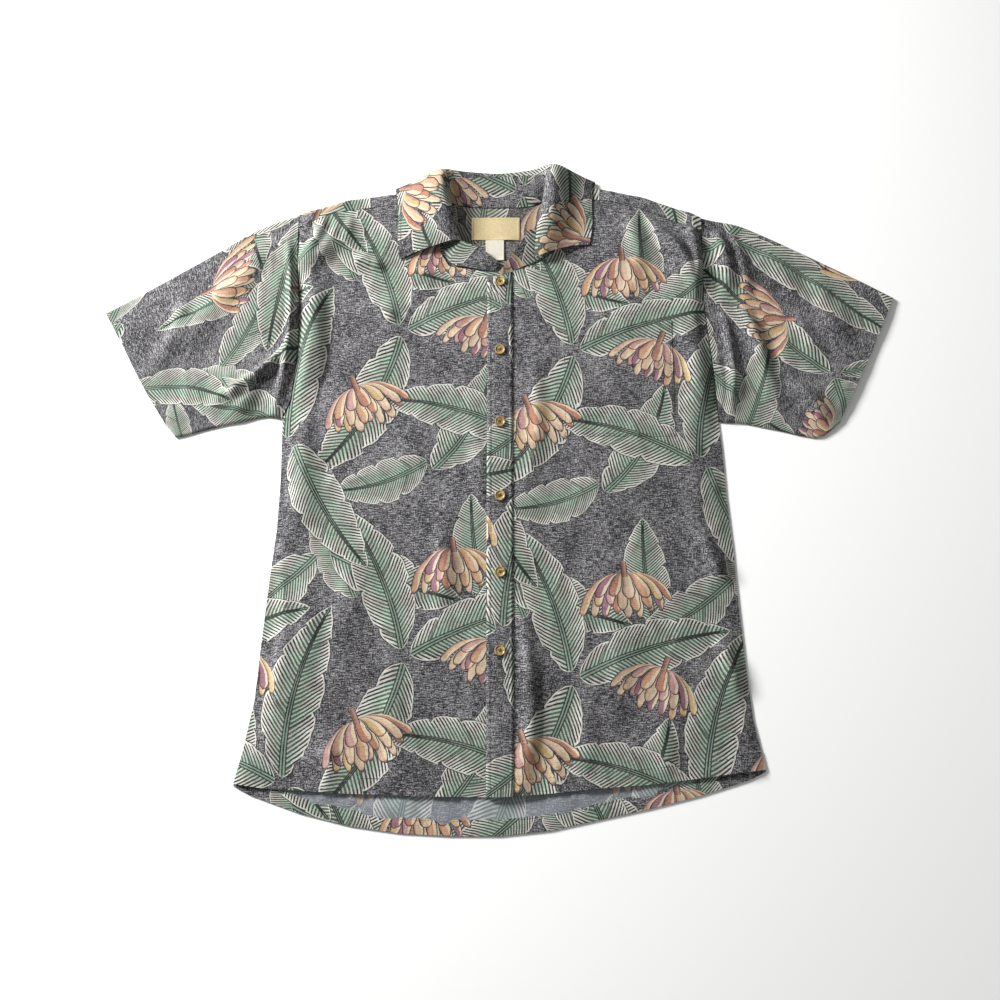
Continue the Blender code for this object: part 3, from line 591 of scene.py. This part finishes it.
def stitchRows(name, rows, material, length=2.8, gap=1.2, half=0.28):
    # one joined mesh: a short thread with tapered ends for every stitch of every row of plan points
    around = np.linspace(0, 2 * math.pi, 6, endpoint=False)
    points, faces = [], []
    for row in rows:
        row = np.asarray(row, float)
        run = np.concatenate([[0], np.cumsum(np.linalg.norm(np.diff(row, axis=0), axis=1))])
        for start in np.arange(0.5, run[-1] - length, length + gap):
            spots = [np.array([np.interp(start + part, run, row[:, k]) for k in range(3)]) for part in (0, length)]
            way = spots[1] - spots[0]
            way /= np.linalg.norm(way)
            side = np.cross(way, (0, 0, 1.0))
            side /= max(np.linalg.norm(side), 1e-6)
            top = np.cross(side, way)
            first = len(points)
            points.append(spots[0] - top * half)
            for share in (0.2, 0.8):
                centre = spots[0] + (spots[1] - spots[0]) * share
                points.extend(centre + half * (side * math.cos(t) + top * math.sin(t)) for t in around)
            points.append(spots[1] - top * half)
            ringA, ringB, last = first + 1, first + 7, first + 13
            for k in range(6):
                n = (k + 1) % 6
                faces.append((first, ringA + n, ringA + k))
                faces.append((ringA + k, ringA + n, ringB + n, ringB + k))
                faces.append((last, ringB + k, ringB + n))
    points = np.array(points)
    points[:, 1] += dropY
    mesh = bpy.data.meshes.new(name)
    mesh.from_pydata((points * 0.001).tolist(), [], faces)
    mesh.materials.append(material)
    mesh.shade_smooth()
    piece = bpy.data.objects.new(name, mesh)
    bpy.context.scene.collection.objects.link(piece)
    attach(piece, "root")


def turned(x, y, degrees, u0, v0):
    t = math.radians(degrees)
    return np.stack([x * math.cos(t) + y * math.sin(t) + u0, -x * math.sin(t) + y * math.cos(t) + v0], -1)


def frontColumn(x, left, rows):
    # one column of a front, from the hem up: straight, fanned to the side, gathered to the neck or yoke seam
    px0, px1, _, top0 = plan["pocket"]
    sign = 1 if left else -1
    neck, seam = ("neckLeft", "seamLeft") if left else ("neckRight", "seamRight")
    share = max(0.0, (abs(x) - px1) / (plan["shoulderX"] - px1))
    foot = sign * (px1 + share * (plan["hemSide"] - px1)) if share else x
    top = along(neck, x) if abs(x) < 80 else along(seam, x) - 0.3
    hem = along("hemFront", foot)
    cut = 0.86
    y = np.where(rows < cut, hem + (top0 - hem) * rows / cut, top0 + (top - top0) * (rows - cut) / (1 - cut))
    reach = np.abs(sideX(y, left)) - px1
    return (np.full_like(y, x) if not share else sign * (px1 + share * reach)), y, hem


def frontGrid(xs, left, count):
    rows = np.linspace(0, 1, count)
    columns = [frontColumn(x, left, rows) for x in xs]
    x = np.array([c[0] for c in columns])
    y = np.array([c[1] for c in columns])
    hem = np.array([c[2] for c in columns])[:, None]
    return x, y, y - hem


def finishEdge(x, y, z, fromHem, left):
    reach = np.abs(sideX(y, left)) - np.abs(x)
    z = z + 0.45 * (1 - smooth(fromHem, 18.5, 20.5)) - 0.35 * np.exp(-((fromHem - 18.2) / 0.9) ** 2)
    low = 1.0 + 0.5 * (fromHem < 20)
    roll = smooth(reach, -1, 13) * (y < 101) + (y >= 101) * (0.45 + 0.55 * smooth(reach, -1, 7))
    return low + (z - low) * roll


def spaced(start, end, pitch):
    return np.linspace(start, end, max(2, int(round(abs(end - start) / pitch)) + 1))


placketStrip = {"proud": 2.5, "stitchFrom": 10.6, "edgeDrop": 2.2}  # its edges are turned under and stitched


def makeFronts():
    pitch = 2.7
    half, under = plan["placketHalf"], plan["underEdge"]
    centre = [-half, -11, -6, 0, 6, 11, half]
    corner = [76.6, 77.2, 77.8, 78.4, 79.0, 79.6, 80.2]  # close columns where the neck turns up to the shoulder
    uxs = np.concatenate([spaced(-plan["shoulderX"], -half, pitch)[:-1], centre, [under], np.negative(corner)])
    uxs = np.sort(uxs)
    x, y, fromHem = frontGrid(uxs, False, 262)
    z = finishEdge(x, y, frontMid(x, y), fromHem, False)
    hemRow = np.abs(fromHem[0] - 18.2).argmin()
    rightHem = np.stack([x, y, z + 0.4], 2)[4:np.abs(uxs + half).argmin(), hemRow]
    piece = makeShell("frontRightCloth", np.stack([x, y, z], 2), turned(x, y, 1.5, 31, 12), printCloth)
    declare(piece, ["front_right"])
    oxs = np.sort(np.concatenate([centre, spaced(half, plan["shoulderX"], pitch)[1:], corner]))
    x, y, fromHem = frontGrid(oxs, True, 262)
    z = finishEdge(x, y, frontMid(x, y) + overRise(x), fromHem, True)
    leftHem = np.stack([x, y, z + 0.4], 2)[np.abs(oxs - half).argmin():-4, hemRow]
    stitchRows("frontHemStitches", [rightHem, leftHem], threadDark)
    piece = makeShell("frontLeftCloth", np.stack([x, y, z], 2), turned(x, y, -1, 118, 40), printCloth)
    declare(piece, ["front_left"])
    line = placketStrip["stitchFrom"]
    across = [0, line - 6, line - 0.9, line, line + 0.9, half - 2.2, half - 1.0, half - 0.3, half]
    across = np.array([-step for step in across[:0:-1]] + across)
    x, y, fromHem = frontGrid(across, True, 262)
    z = frontMid(x, y) + stack["layer"] + placketStrip["proud"] + 0.45 * (1 - smooth(fromHem, 18.5, 20.5))
    z = z + pucker(np.abs(x) - 12, y, 0.28, 6)
    z = z - 0.4 * np.exp(-((np.abs(x) - line) / 0.9) ** 2) - placketStrip["edgeDrop"] * smooth(np.abs(x), half - 2.4, half)
    piece = makeShell("placketCloth", np.stack([x, y, z], 2), turned(x, y, -1, 60, 251), printCloth)
    declare(piece, ["placket"])
    stitchRows("placketStitches", [np.stack([x[k], y[k], z[k] + 0.35], 1)[2:-2]
                                   for k in (np.abs(x[:, 0] + line).argmin(), np.abs(x[:, 0] - line).argmin())], threadDark)
    # pocket, matched to the print under it
    px0, px1, py0, py1 = plan["pocket"]
    gx, gy = np.meshgrid(spaced(px0, px1, 2.6), spaced(py0, py1, 2.6), indexing="ij")
    z = frontMid(gx, gy) + 0.95
    edge = np.minimum(np.minimum(gx - px0, px1 - gx), gy - py0)
    z = z - 0.35 * np.exp(-((edge - 3.0) / 1.0) ** 2) - 0.45 * (1 - smooth(edge, 0, 1.4))
    hemmed = py1 - gy
    z = z + 0.35 * (1 - smooth(hemmed, 21, 23)) - 0.3 * np.exp(-((hemmed - 21) / 1.0) ** 2) + 0.5 * (1 - smooth(hemmed, 0, 10))
    piece = makeShell("pocketCloth", np.stack([gx, gy, z], 2), turned(gx, gy, -1, 118, 40), printCloth)
    declare(piece, ["pocket"])
    sheet = np.stack([gx, gy, z + 0.35], 2)
    bend = [sheet[1, ::-1], sheet[:, 1], sheet[-2]]  # down one side, along the bottom and up the other
    hemRow = np.abs(gy[0] - (py1 - 21)).argmin()
    stitchRows("pocketStitches", [np.concatenate(bend), sheet[2:-2, hemRow]], threadDark)


def makeBack():
    count = 150
    ys = np.linspace(0, 1, 170)
    xs = np.linspace(-1, 1, count)
    yTop = plan["yokeBackSeam"] - 0.3
    grid = np.zeros((count, len(ys), 3))
    for i, s in enumerate(xs):
        hemX = s * 305
        hem = along("hemBack", hemX)
        y = hem + (yTop - hem) * ys
        left = s > 0
        edge = sideX(y, left)
        grid[i, :, 0] = np.abs(s) * edge if s else 0
        grid[i, :, 1] = y
        grid[i, :, 2] = 0.34
    x, y = grid[..., 0], grid[..., 1]
    hem = np.array([along("hemBack", s * 305) for s in xs])[:, None]
    shown = (1 - smooth(y, -345, -325))
    grid[..., 2] += shown * np.maximum(0.5 + rumple(x * 1.6, y * 1.6, 0.9), 0) * smooth(y - hem, 2, 24)
    piece = makeShell("backCloth", grid, turned(x, y, 2, 200, 133), printInside)
    declare(piece, ["back"])
    bx = spaced(-300, 300, 4)
    rows = np.linspace(0, 1, 9)
    hem = along("hemBack", bx)[:, None]
    x = np.repeat(bx[:, None], len(rows), 1)
    y = hem + 0.4 + 18 * rows[None, :]
    z = 1.15 + 0.35 * np.sin(np.pi * rows)[None, :] + 0.14 * np.sin(x * 0.33 + np.sin(x * 0.06)) * rows[None, :]
    z = z - 0.3 * np.exp(-((rows[None, :] - 0.86) / 0.05) ** 2)
    stitchRows("backHemStitches", [np.stack([x[2:-2, -2], y[2:-2, -2], z[2:-2, -2] + 0.3], 1)], threadDark)
    piece = makeShell("backHemCloth", np.stack([x, y, np.broadcast_to(z, x.shape)], 2), turned(x, y, 2, 77, 300), printCloth)
    declare(piece, ["back_hem"])


def yokeColumn(x, kind):
    yBack = plan["yokeBackSeam"] + 0.3
    neck = kind == "neck"
    fold = "foldRight" if x < 0 else "foldLeft"
    seam = "seamRight" if x < 0 else "seamLeft"
    top = along("neckBack", x) if neck else along(fold, x)
    low = np.linspace(yBack, top if neck else top - 2.6, 30)
    column = [(x, y, float(lift(np.array(x), np.array(y))) + 0.4) for y in low]
    if neck:
        return column + [column[-1]] * 14
    ax = np.array(float(x))
    high = lambda y: float(frontMid(ax, np.array(float(y))))
    zl, zh = column[-1][2], high(top)
    for t in (0.25, 0.5, 0.75):
        a = math.pi * t
        column.append((x, top - 2.6 + 2.4 * math.sin(a), (zl + zh) / 2 - (zh - zl) / 2 * math.cos(a)))
    down = along(seam, x) + 0.3
    for y in np.linspace(top - 2.6, down, 11):
        column.append((x, y, high(y)))
    return column


def makeYoke():
    outer = list(spaced(plan["shoulderX"], 77, 4.5))
    mids = list(spaced(-74, 74, 4))
    grid = [yokeColumn(-x, "side") for x in outer] + [yokeColumn(x, "neck") for x in mids]
    grid += [yokeColumn(x, "side") for x in outer[::-1]]
    grid = np.array(grid)
    columns = len(grid)
    keep = np.ones((columns - 1, grid.shape[1] - 1), bool)
    keep[len(outer) - 1:columns - len(outer), 29:] = False
    steps = np.linalg.norm(np.diff(grid, axis=1), axis=2)
    run = np.concatenate([np.zeros((columns, 1)), np.cumsum(steps, 1)], 1)
    uv = turned(grid[..., 0], run + 300, 0, 90, 170)
    # the first 29 rows show their inner face round the neck, darkened as painted shade
    piece = makeShell("yokeCloth", grid, uv, printCloth, keep=keep, insideRows=29)
    declare(piece, ["yoke"])


sleeves = {
    "right": [(-256.2, 374, -266.9, 101, 1), (-268, 370, -278, 104, 0.9), (-292, 361, -294, 103, 0.7),
              (-318, 348, -314, 98, 0.5), (-356, 323, -338, 93, 0.3), (-404, 293, -362, 87, 0.1),
              (-450, 265, -381, 81, -0.2), (-493, 240, -395, 78, -0.4)],
    "left": [(256.2, 370, 267.9, 98, 1), (272, 366, 280, 97, 0.9), (304, 359, 298, 96, 0.6), (343, 341, 322, 91, 0.3),
             (380, 322, 346, 86, 0.1), (418, 302, 370, 80, 0), (456, 282, 392, 79, -0.2), (493, 261, 415, 97, -0.4)],
}


def resample(table, count):
    # rows of a table on a smooth curve through them
    rows = np.array(table, float)
    last = len(rows) - 1
    place = np.linspace(0, last, count)
    i = np.minimum(place.astype(int), last - 1)
    f = (place - i)[:, None]
    flat = rows.reshape(len(rows), -1)
    p0, p1, p2, p3 = (flat[np.clip(i + k, 0, last)] for k in (-1, 0, 1, 2))
    out = 0.5 * (2 * p1 + f * (p2 - p0) + f ** 2 * (2 * p0 - 5 * p1 + 4 * p2 - p3) + f ** 3 * (3 * p1 - p0 - 3 * p2 + p3))
    return out.reshape((count,) + rows.shape[1:])


def makeSleeve(side):
    armhole = "armholeLeft" if side == "left" else "armholeRight"
    sections = resample(sleeves[side], 76)
    (x0, y0), (x1, y1) = plan[armhole][0], plan[armhole][-1]
    t = 0.5 - 0.5 * np.cos(np.linspace(0, math.pi, 74))
    t = 0.5 * t + 0.5 * np.linspace(0, 1, 74)
    bow = along(plan[armhole], y0 + (y1 - y0) * t, key=1) - (x0 + (x1 - x0) * t)
    x = sections[:, None, 0] + (sections[:, None, 2] - sections[:, None, 0]) * t + sections[:, None, 4] * bow
    y = sections[:, None, 1] + (sections[:, None, 3] - sections[:, None, 1]) * t + 0 * bow
    span = np.hypot(sections[:, 2] - sections[:, 0], sections[:, 3] - sections[:, 1])[:, None]
    edge = np.minimum(t, 1 - t) * span
    fromCuff = (span[-1] * 0 + np.linspace(1, 0, len(x)) * 245)[:, None]
    full = 2.6 + 0.9 * smooth(edge, 0, 30) + foldHeight(x, y, sleeveFolds) + 0.4
    full = full + rumple(x, y, 1.3) * smooth(edge, 4, 30) * (0.25 + 0.75 * smooth(fromCuff, 6, 40))
    full = full + 0.5 * (1 - smooth(fromCuff, 23.5, 25.5)) - 0.35 * np.exp(-((fromCuff - 23) / 1.0) ** 2)
    full = np.maximum(full, 2.0)
    round_ = np.sqrt(np.clip(1 - (1 - np.clip(edge / 3.2, 0, 1)) ** 2, 0, 1))
    middle = 1.25
    top = middle + (full - middle) * round_
    low = middle - (middle - 0.3) * round_
    upper = np.stack([x, y, top], 2)
    lower = np.stack([x, y, np.broadcast_to(low, x.shape)], 2)[:, -2:0:-1]
    mid = np.concatenate([upper, lower], 1)
    direction = math.degrees(math.atan2(sections[-1][1] - sections[0][1], sections[-1][0] - sections[0][0]))
    lengthways = np.concatenate([np.zeros(1), np.cumsum(np.hypot(*np.diff(mid[:, 37, :2], axis=0).T))])
    ringSteps = np.linalg.norm(np.diff(mid, axis=1, append=mid[:, :1]), axis=2)
    around = np.concatenate([np.zeros((len(mid), 1)), np.cumsum(ringSteps, 1)[:, :-1]], 1)
    around = around * (around[0, -1] / around[:, -1:])  # one flat width, so the print meets itself at the fold
    u = np.repeat(lengthways[:, None], mid.shape[1], 1)
    uv = np.stack([around + (40 if side == "left" else 210), u + (60 if side == "left" else 250)], 2)
    if side == "left":
        mid, uv = mid[::-1], uv[::-1]
    piece = makeShell("sleeveLeftCloth" if side == "left" else "sleeveRightCloth", mid, uv, printCloth, ring=True)
    declare(piece, ["sleeve_" + side])


band = [
    (1, 289, 4.6, 1, 297, 7.4), (20, 299, 4.4, 14, 314, 11), (44, 309.5, 4.4, 32, 339, 15), (63, 324, 4.6, 42, 356, 17),
    (73.5, 351, 5.2, 48, 374, 18), (74, 385, 5.8, 54, 392, 18.5), (72, 408, 5, 57, 408, 18.5),
    (60, 397.6, 3.9, 54, 417, 17), (38, 386.2, 3.3, 38, 419, 14), (0, 384.2, 3.3, 0, 418, 12),
    (-38, 385.2, 3.3, -40, 416, 14), (-64, 391.8, 3.9, -60, 412, 17), (-72, 403, 5, -62, 404, 18.5),
    (-74.6, 380, 5, -59, 382, 18), (-75, 350, 4.9, -54, 358, 16.5), (-71, 324, 4, -48, 340, 14),
    (-60, 307, 3.4, -38, 330, 12), (-38, 301.6, 3, -24, 325, 10), (-13, 297.6, 2.8, -10, 314, 8), (-6, 299, 2.8, 0, 307, 6),
]
leaf = [
    (43, 312, 10, 54, 315, 15, 66, 320, 14, 90, 328, 10, 113, 331, 7.6),
    (46, 344, 17.6, 56, 347, 23, 68, 350, 22, 90, 355, 9.6, 117, 357, 7.2),
    (52, 378, 20, 61, 382, 27, 72, 384, 25.6, 92, 386, 11, 117, 385, 7.4),
    (57, 404, 20.5, 64, 410, 28, 75, 413, 26, 94, 411, 12.5, 117, 402, 7.6),
    (58, 419, 19, 66, 428, 26.4, 77, 431, 24, 98, 426, 13, 119, 418, 5.2),
    (54, 422.6, 18, 60, 433, 22, 68, 436, 16, 90, 430, 2.4, 121, 415, 0.8),
    (38, 423, 15.4, 41, 430, 16, 45, 432, 10, 60, 428, 0.7, 96, 376, 0.65),
    (0, 422, 13.4, 0, 426, 13.4, 0, 427.6, 8, 0, 422, 0.7, 0, 352, 0.65),
    (-40, 420, 15.4, -43, 427, 16, -47, 429, 10, -62, 424, 0.7, -98, 368, 0.65),
    (-60, 417, 18, -66, 427, 22, -74, 430, 16, -96, 423, 2.4, -128, 408, 0.8),
    (-64, 411, 19.4, -72, 421, 26, -83, 424, 23, -106, 418, 12, -133, 406.6, 5.2),
    (-65, 398, 20.5, -73, 403, 27, -84, 405, 25, -108, 400, 16, -130, 390, 8.6),
    (-60, 374, 20, -69, 376, 25, -80, 377, 24, -104, 374, 15, -129, 365, 8.2),
    (-55, 352, 18, -65, 351, 22, -76, 350, 20, -102, 345, 13, -129, 337, 7.8),
    (-49, 334, 14, -60, 333, 17, -73, 330, 15, -100, 322, 10.6, -127, 311, 7.4),
]


def surfaceRun(grid):
    # how far each point lies along the columns and down the rows of a bent sheet
    steps = np.linalg.norm(np.diff(grid, axis=0), axis=2).mean(1)
    acrossSteps = np.linalg.norm(np.diff(grid, axis=1), axis=2)
    u = np.concatenate([[0], np.cumsum(steps)])
    v = np.concatenate([np.zeros((len(grid), 1)), np.cumsum(acrossSteps, 1)], 1)
    return np.repeat(u[:, None], grid.shape[1], 1), v


def makeCollar():
    rows = resample(np.array(band).reshape(-1, 2, 3), 140)
    roll = resample(np.array(leaf).reshape(-1, 5, 3), 300)[:, 0]
    for row in rows:  # the band's top edge meets the leaf where the two are sewn together
        gaps = np.linalg.norm(roll - row[1], axis=1)
        if gaps.min() < 9:
            row[1] += (roll[gaps.argmin()] - row[1]) * 0.96
    share = np.linspace(0, 1, 14)[None, :, None]
    grid = rows[:, :1] + (rows[:, 1:] - rows[:, :1]) * share
    grid[..., 2] += 0.25 * np.sin(np.arange(140) * 0.5)[:, None] * np.sin(np.pi * share[..., 0])
    u, v = surfaceRun(grid)
    piece = makeShell("collarBandCloth", grid, np.stack([u + 20, v + 210], 2), printCloth, thick=0.9)
    declare(piece, ["collar_stand"])
    rows = resample(np.array(leaf).reshape(-1, 5, 3), 150)
    grid = np.swapaxes(resample(np.swapaxes(rows, 0, 1), 44), 0, 1)
    grid[..., 2] = np.maximum(grid[..., 2], 0.5)
    share = np.linspace(0, 1, 44)[None, :]
    run = np.arange(len(grid))[:, None] * 3.1
    grid[..., 2] += pucker(1 - share, run, 0.30, 0.12) + 0.35 * np.sin(run * 0.05 + 3 * share) * np.sin(np.pi * share)
    edge = grid + np.array((0, 0, 0.5))
    stitchRows("collarStitches", [np.concatenate([edge[2, 8:-2], edge[2:-2, -3], edge[-3, -2:8:-1]])], threadDark)
    u, v = surfaceRun(grid)
    piece = makeShell("collarLeafCloth", grid, np.stack([u * 1.0 + 140, v + 95], 2), printCloth, thick=0.9)
    declare(piece, ["collar_leaf"])


labels = {
    "neckLabelCloth": {"node": "neck_label", "x": (-36, 25), "y": (339, 370), "material": labelCloth, "border": 1.6},
    "sizeLabelCloth": {"node": "size_label", "x": (-18, 5), "y": (312, 338.6), "material": tabCloth, "border": 1.0},
}


def makeLabels():
    for name, label in labels.items():
        (x0, x1), (y0, y1) = label["x"], label["y"]
        gx, gy = np.meshgrid(spaced(x0, x1, 0.8), spaced(y0, y1, 0.8), indexing="ij")
        edge = np.minimum(np.minimum(gx - x0, x1 - gx), np.minimum(gy - y0, y1 - gy))
        curl = 0.35 * np.sin(gx * 0.11 + 1) + 0.5 * (1 - smooth(gy - y0, 0, 9)) * np.sin(gx * 0.16)
        z = lift(gx, gy) + 1.6 + curl + 0.22 * smooth(edge, 0.2, 0.6) * (1 - smooth(edge, label["border"], label["border"] + 0.7))
        piece = makeShell(name, np.stack([gx, gy, z], 2), np.stack([gx, gy], 2), label["material"], thick=0.45)
        declare(piece, [label["node"]])
        ends = [np.stack([gx[k], gy[k], z[k] + 0.25], 1)[2:-2] for k in (2, -3)]
        if label["node"] == "neck_label":
            stitchRows("neckLabelStitches", ends, threadPale, length=2.2, gap=1.0)


makeBack()
makeYoke()
makeFronts()
makeSleeve("right")
makeSleeve("left")
makeCollar()
makeLabels()
print("cloth made")

button = {"radius": 6.3, "thick": 2.5, "rim": 1.15, "dish": 0.75, "hole": 0.85, "holeFrom": 1.45, "thread": 0.42}


def selectFlat(mesh, height, within):
    # the faces that lie level at this height, nearer the middle than this
    for polygon in mesh.polygons:
        level = abs(polygon.normal.z) > 0.9 and abs(polygon.center.z - height) < 1e-5
        polygon.select = level and math.hypot(*polygon.center[:2]) < within
    for edge in mesh.edges:
        edge.select = False
    for vertex in mesh.vertices:
        vertex.select = False


def modelButton():
    mm = 0.001
    bpy.ops.object.select_all(action="DESELECT")
    bpy.ops.mesh.primitive_cylinder_add(vertices=48, radius=button["radius"] * mm, depth=button["thick"] * mm,
                                        location=(0, 0, button["thick"] * mm / 2))
    body = bpy.context.object
    bpy.ops.object.transform_apply()
    selectFlat(body.data, button["thick"] * mm, 0.001)
    bpy.ops.object.mode_set(mode="EDIT")
    bpy.ops.mesh.select_mode(type="FACE")
    bpy.ops.mesh.inset(thickness=button["rim"] * mm)
    bpy.ops.mesh.inset(thickness=0.8 * mm)
    bpy.ops.transform.translate(value=(0, 0, -button["dish"] * mm))
    bpy.ops.object.mode_set(mode="OBJECT")
    bevel = body.modifiers.new("edge", "BEVEL")
    bevel.width, bevel.segments, bevel.angle_limit = 0.45 * mm, 3, math.radians(30)
    bpy.ops.object.modifier_apply(modifier="edge")
    for number in range(4):
        turn = math.radians(45 + 90 * number)
        place = (button["holeFrom"] * math.cos(turn) * mm, button["holeFrom"] * math.sin(turn) * mm, 0)
        bpy.ops.object.select_all(action="DESELECT")
        bpy.ops.mesh.primitive_cylinder_add(vertices=14, radius=button["hole"] * mm, depth=0.012, location=place)
        drill = bpy.context.object
        bpy.context.view_layer.objects.active = body
        cut = body.modifiers.new("hole", "BOOLEAN")
        cut.operation, cut.object, cut.solver = "DIFFERENCE", drill, "EXACT"
        bpy.ops.object.modifier_apply(modifier="hole")
        bpy.data.objects.remove(drill)
    body.data.materials.clear()
    body.data.materials.append(shellButton)
    threads = []
    for turn in (45, 135):  # two crossed threads through the four holes
        bpy.ops.object.select_all(action="DESELECT")
        height = (button["thick"] - button["dish"] + 0.15) * mm
        bpy.ops.mesh.primitive_cylinder_add(vertices=10, radius=button["thread"] * mm, location=(0, 0, height),
                                            depth=2.2 * button["holeFrom"] * mm,
                                            rotation=(math.pi / 2, 0, math.radians(turn + 90)))
        bpy.ops.object.transform_apply()
        thread = bpy.context.object
        thread.data.materials.append(threadDark)
        threads.append(thread)
    bpy.ops.object.select_all(action="DESELECT")
    for piece in [body] + threads:
        piece.select_set(True)
    bpy.context.view_layer.objects.active = body
    bpy.ops.object.join()
    bpy.ops.object.shade_smooth_by_angle(angle=math.radians(35))
    return body


pattern = modelButton()
for number in range(1, 7):
    node = f"button_{number}"
    low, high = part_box(node)
    copy = bpy.data.objects.new(f"shellButton{number}", pattern.data.copy())
    bpy.context.scene.collection.objects.link(copy)
    turn = Matrix.Rotation(math.radians(17 + 47 * number), 4, "Z")
    x, y = (low[0] + high[0]) / 2, (low[1] + high[1]) / 2
    planY = y * 1000 - dropY
    seat = (float(frontMid(np.array(0.0), np.array(planY))) + stack["layer"] + placketStrip["proud"] + 0.3) / 1000
    copy.data.transform(Matrix.Translation((x, y, max(low[2], seat))) @ turn)
    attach(copy, "root")
    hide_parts(node)
bpy.data.objects.remove(pattern)
print("buttons made")

# ---- stage

view = {"height": 75.8, "away": 1.523, "lens": 45.5}
turnUp = math.radians(view["height"])
bpy.ops.object.select_all(action="DESELECT")
cameraData = bpy.data.cameras.new("camera")
cameraData.lens = view["lens"]
cameraData.sensor_width = 36
camera = bpy.data.objects.new("camera", cameraData)
bpy.context.scene.collection.objects.link(camera)
camera.location = (0, dropY / 1000 - view["away"] * math.cos(turnUp), view["away"] * math.sin(turnUp))
camera.rotation_euler = (math.radians(90) - turnUp, 0, 0)
bpy.context.scene.camera = camera

bpy.ops.mesh.primitive_plane_add(size=8, location=(0, 0, -0.0004))
floor = bpy.context.object
floor.name = "floor"
floorMaterial = bpy.data.materials.new("floorPaint")
floorMaterial.use_nodes = True
floorShader = floorMaterial.node_tree.nodes["Principled BSDF"]
floorShader.inputs["Base Color"].default_value = (0.90, 0.90, 0.89, 1)
floorShader.inputs["Roughness"].default_value = 0.95
floorShader.inputs["Specular IOR Level"].default_value = 0.05
floor.data.materials.append(floorMaterial)

lights = {"key": ((-1.75, 1.1, 1.02), 0.65, 134), "fill": ((2.2, -1.2, 3.0), 2.6, 6)}  # place, size, watts
for name, (spot, size, power) in lights.items():
    lamp = bpy.data.lights.new(name, "AREA")
    lamp.size = size
    lamp.energy = power
    holder = bpy.data.objects.new(name, lamp)
    holder.location = spot
    from_ = np.array(spot)
    down = -from_ / np.linalg.norm(from_)
    holder.rotation_euler = (math.acos(-down[2]), 0, math.atan2(down[1], down[0]) - math.pi / 2)
    bpy.context.scene.collection.objects.link(holder)
world = bpy.data.worlds.new("world")
world.use_nodes = True
world.node_tree.nodes["Background"].inputs[0].default_value = (1, 1, 1, 1)
world.node_tree.nodes["Background"].inputs[1].default_value = 0.29
bpy.context.scene.world = world
bpy.context.scene.view_settings.view_transform = "Standard"
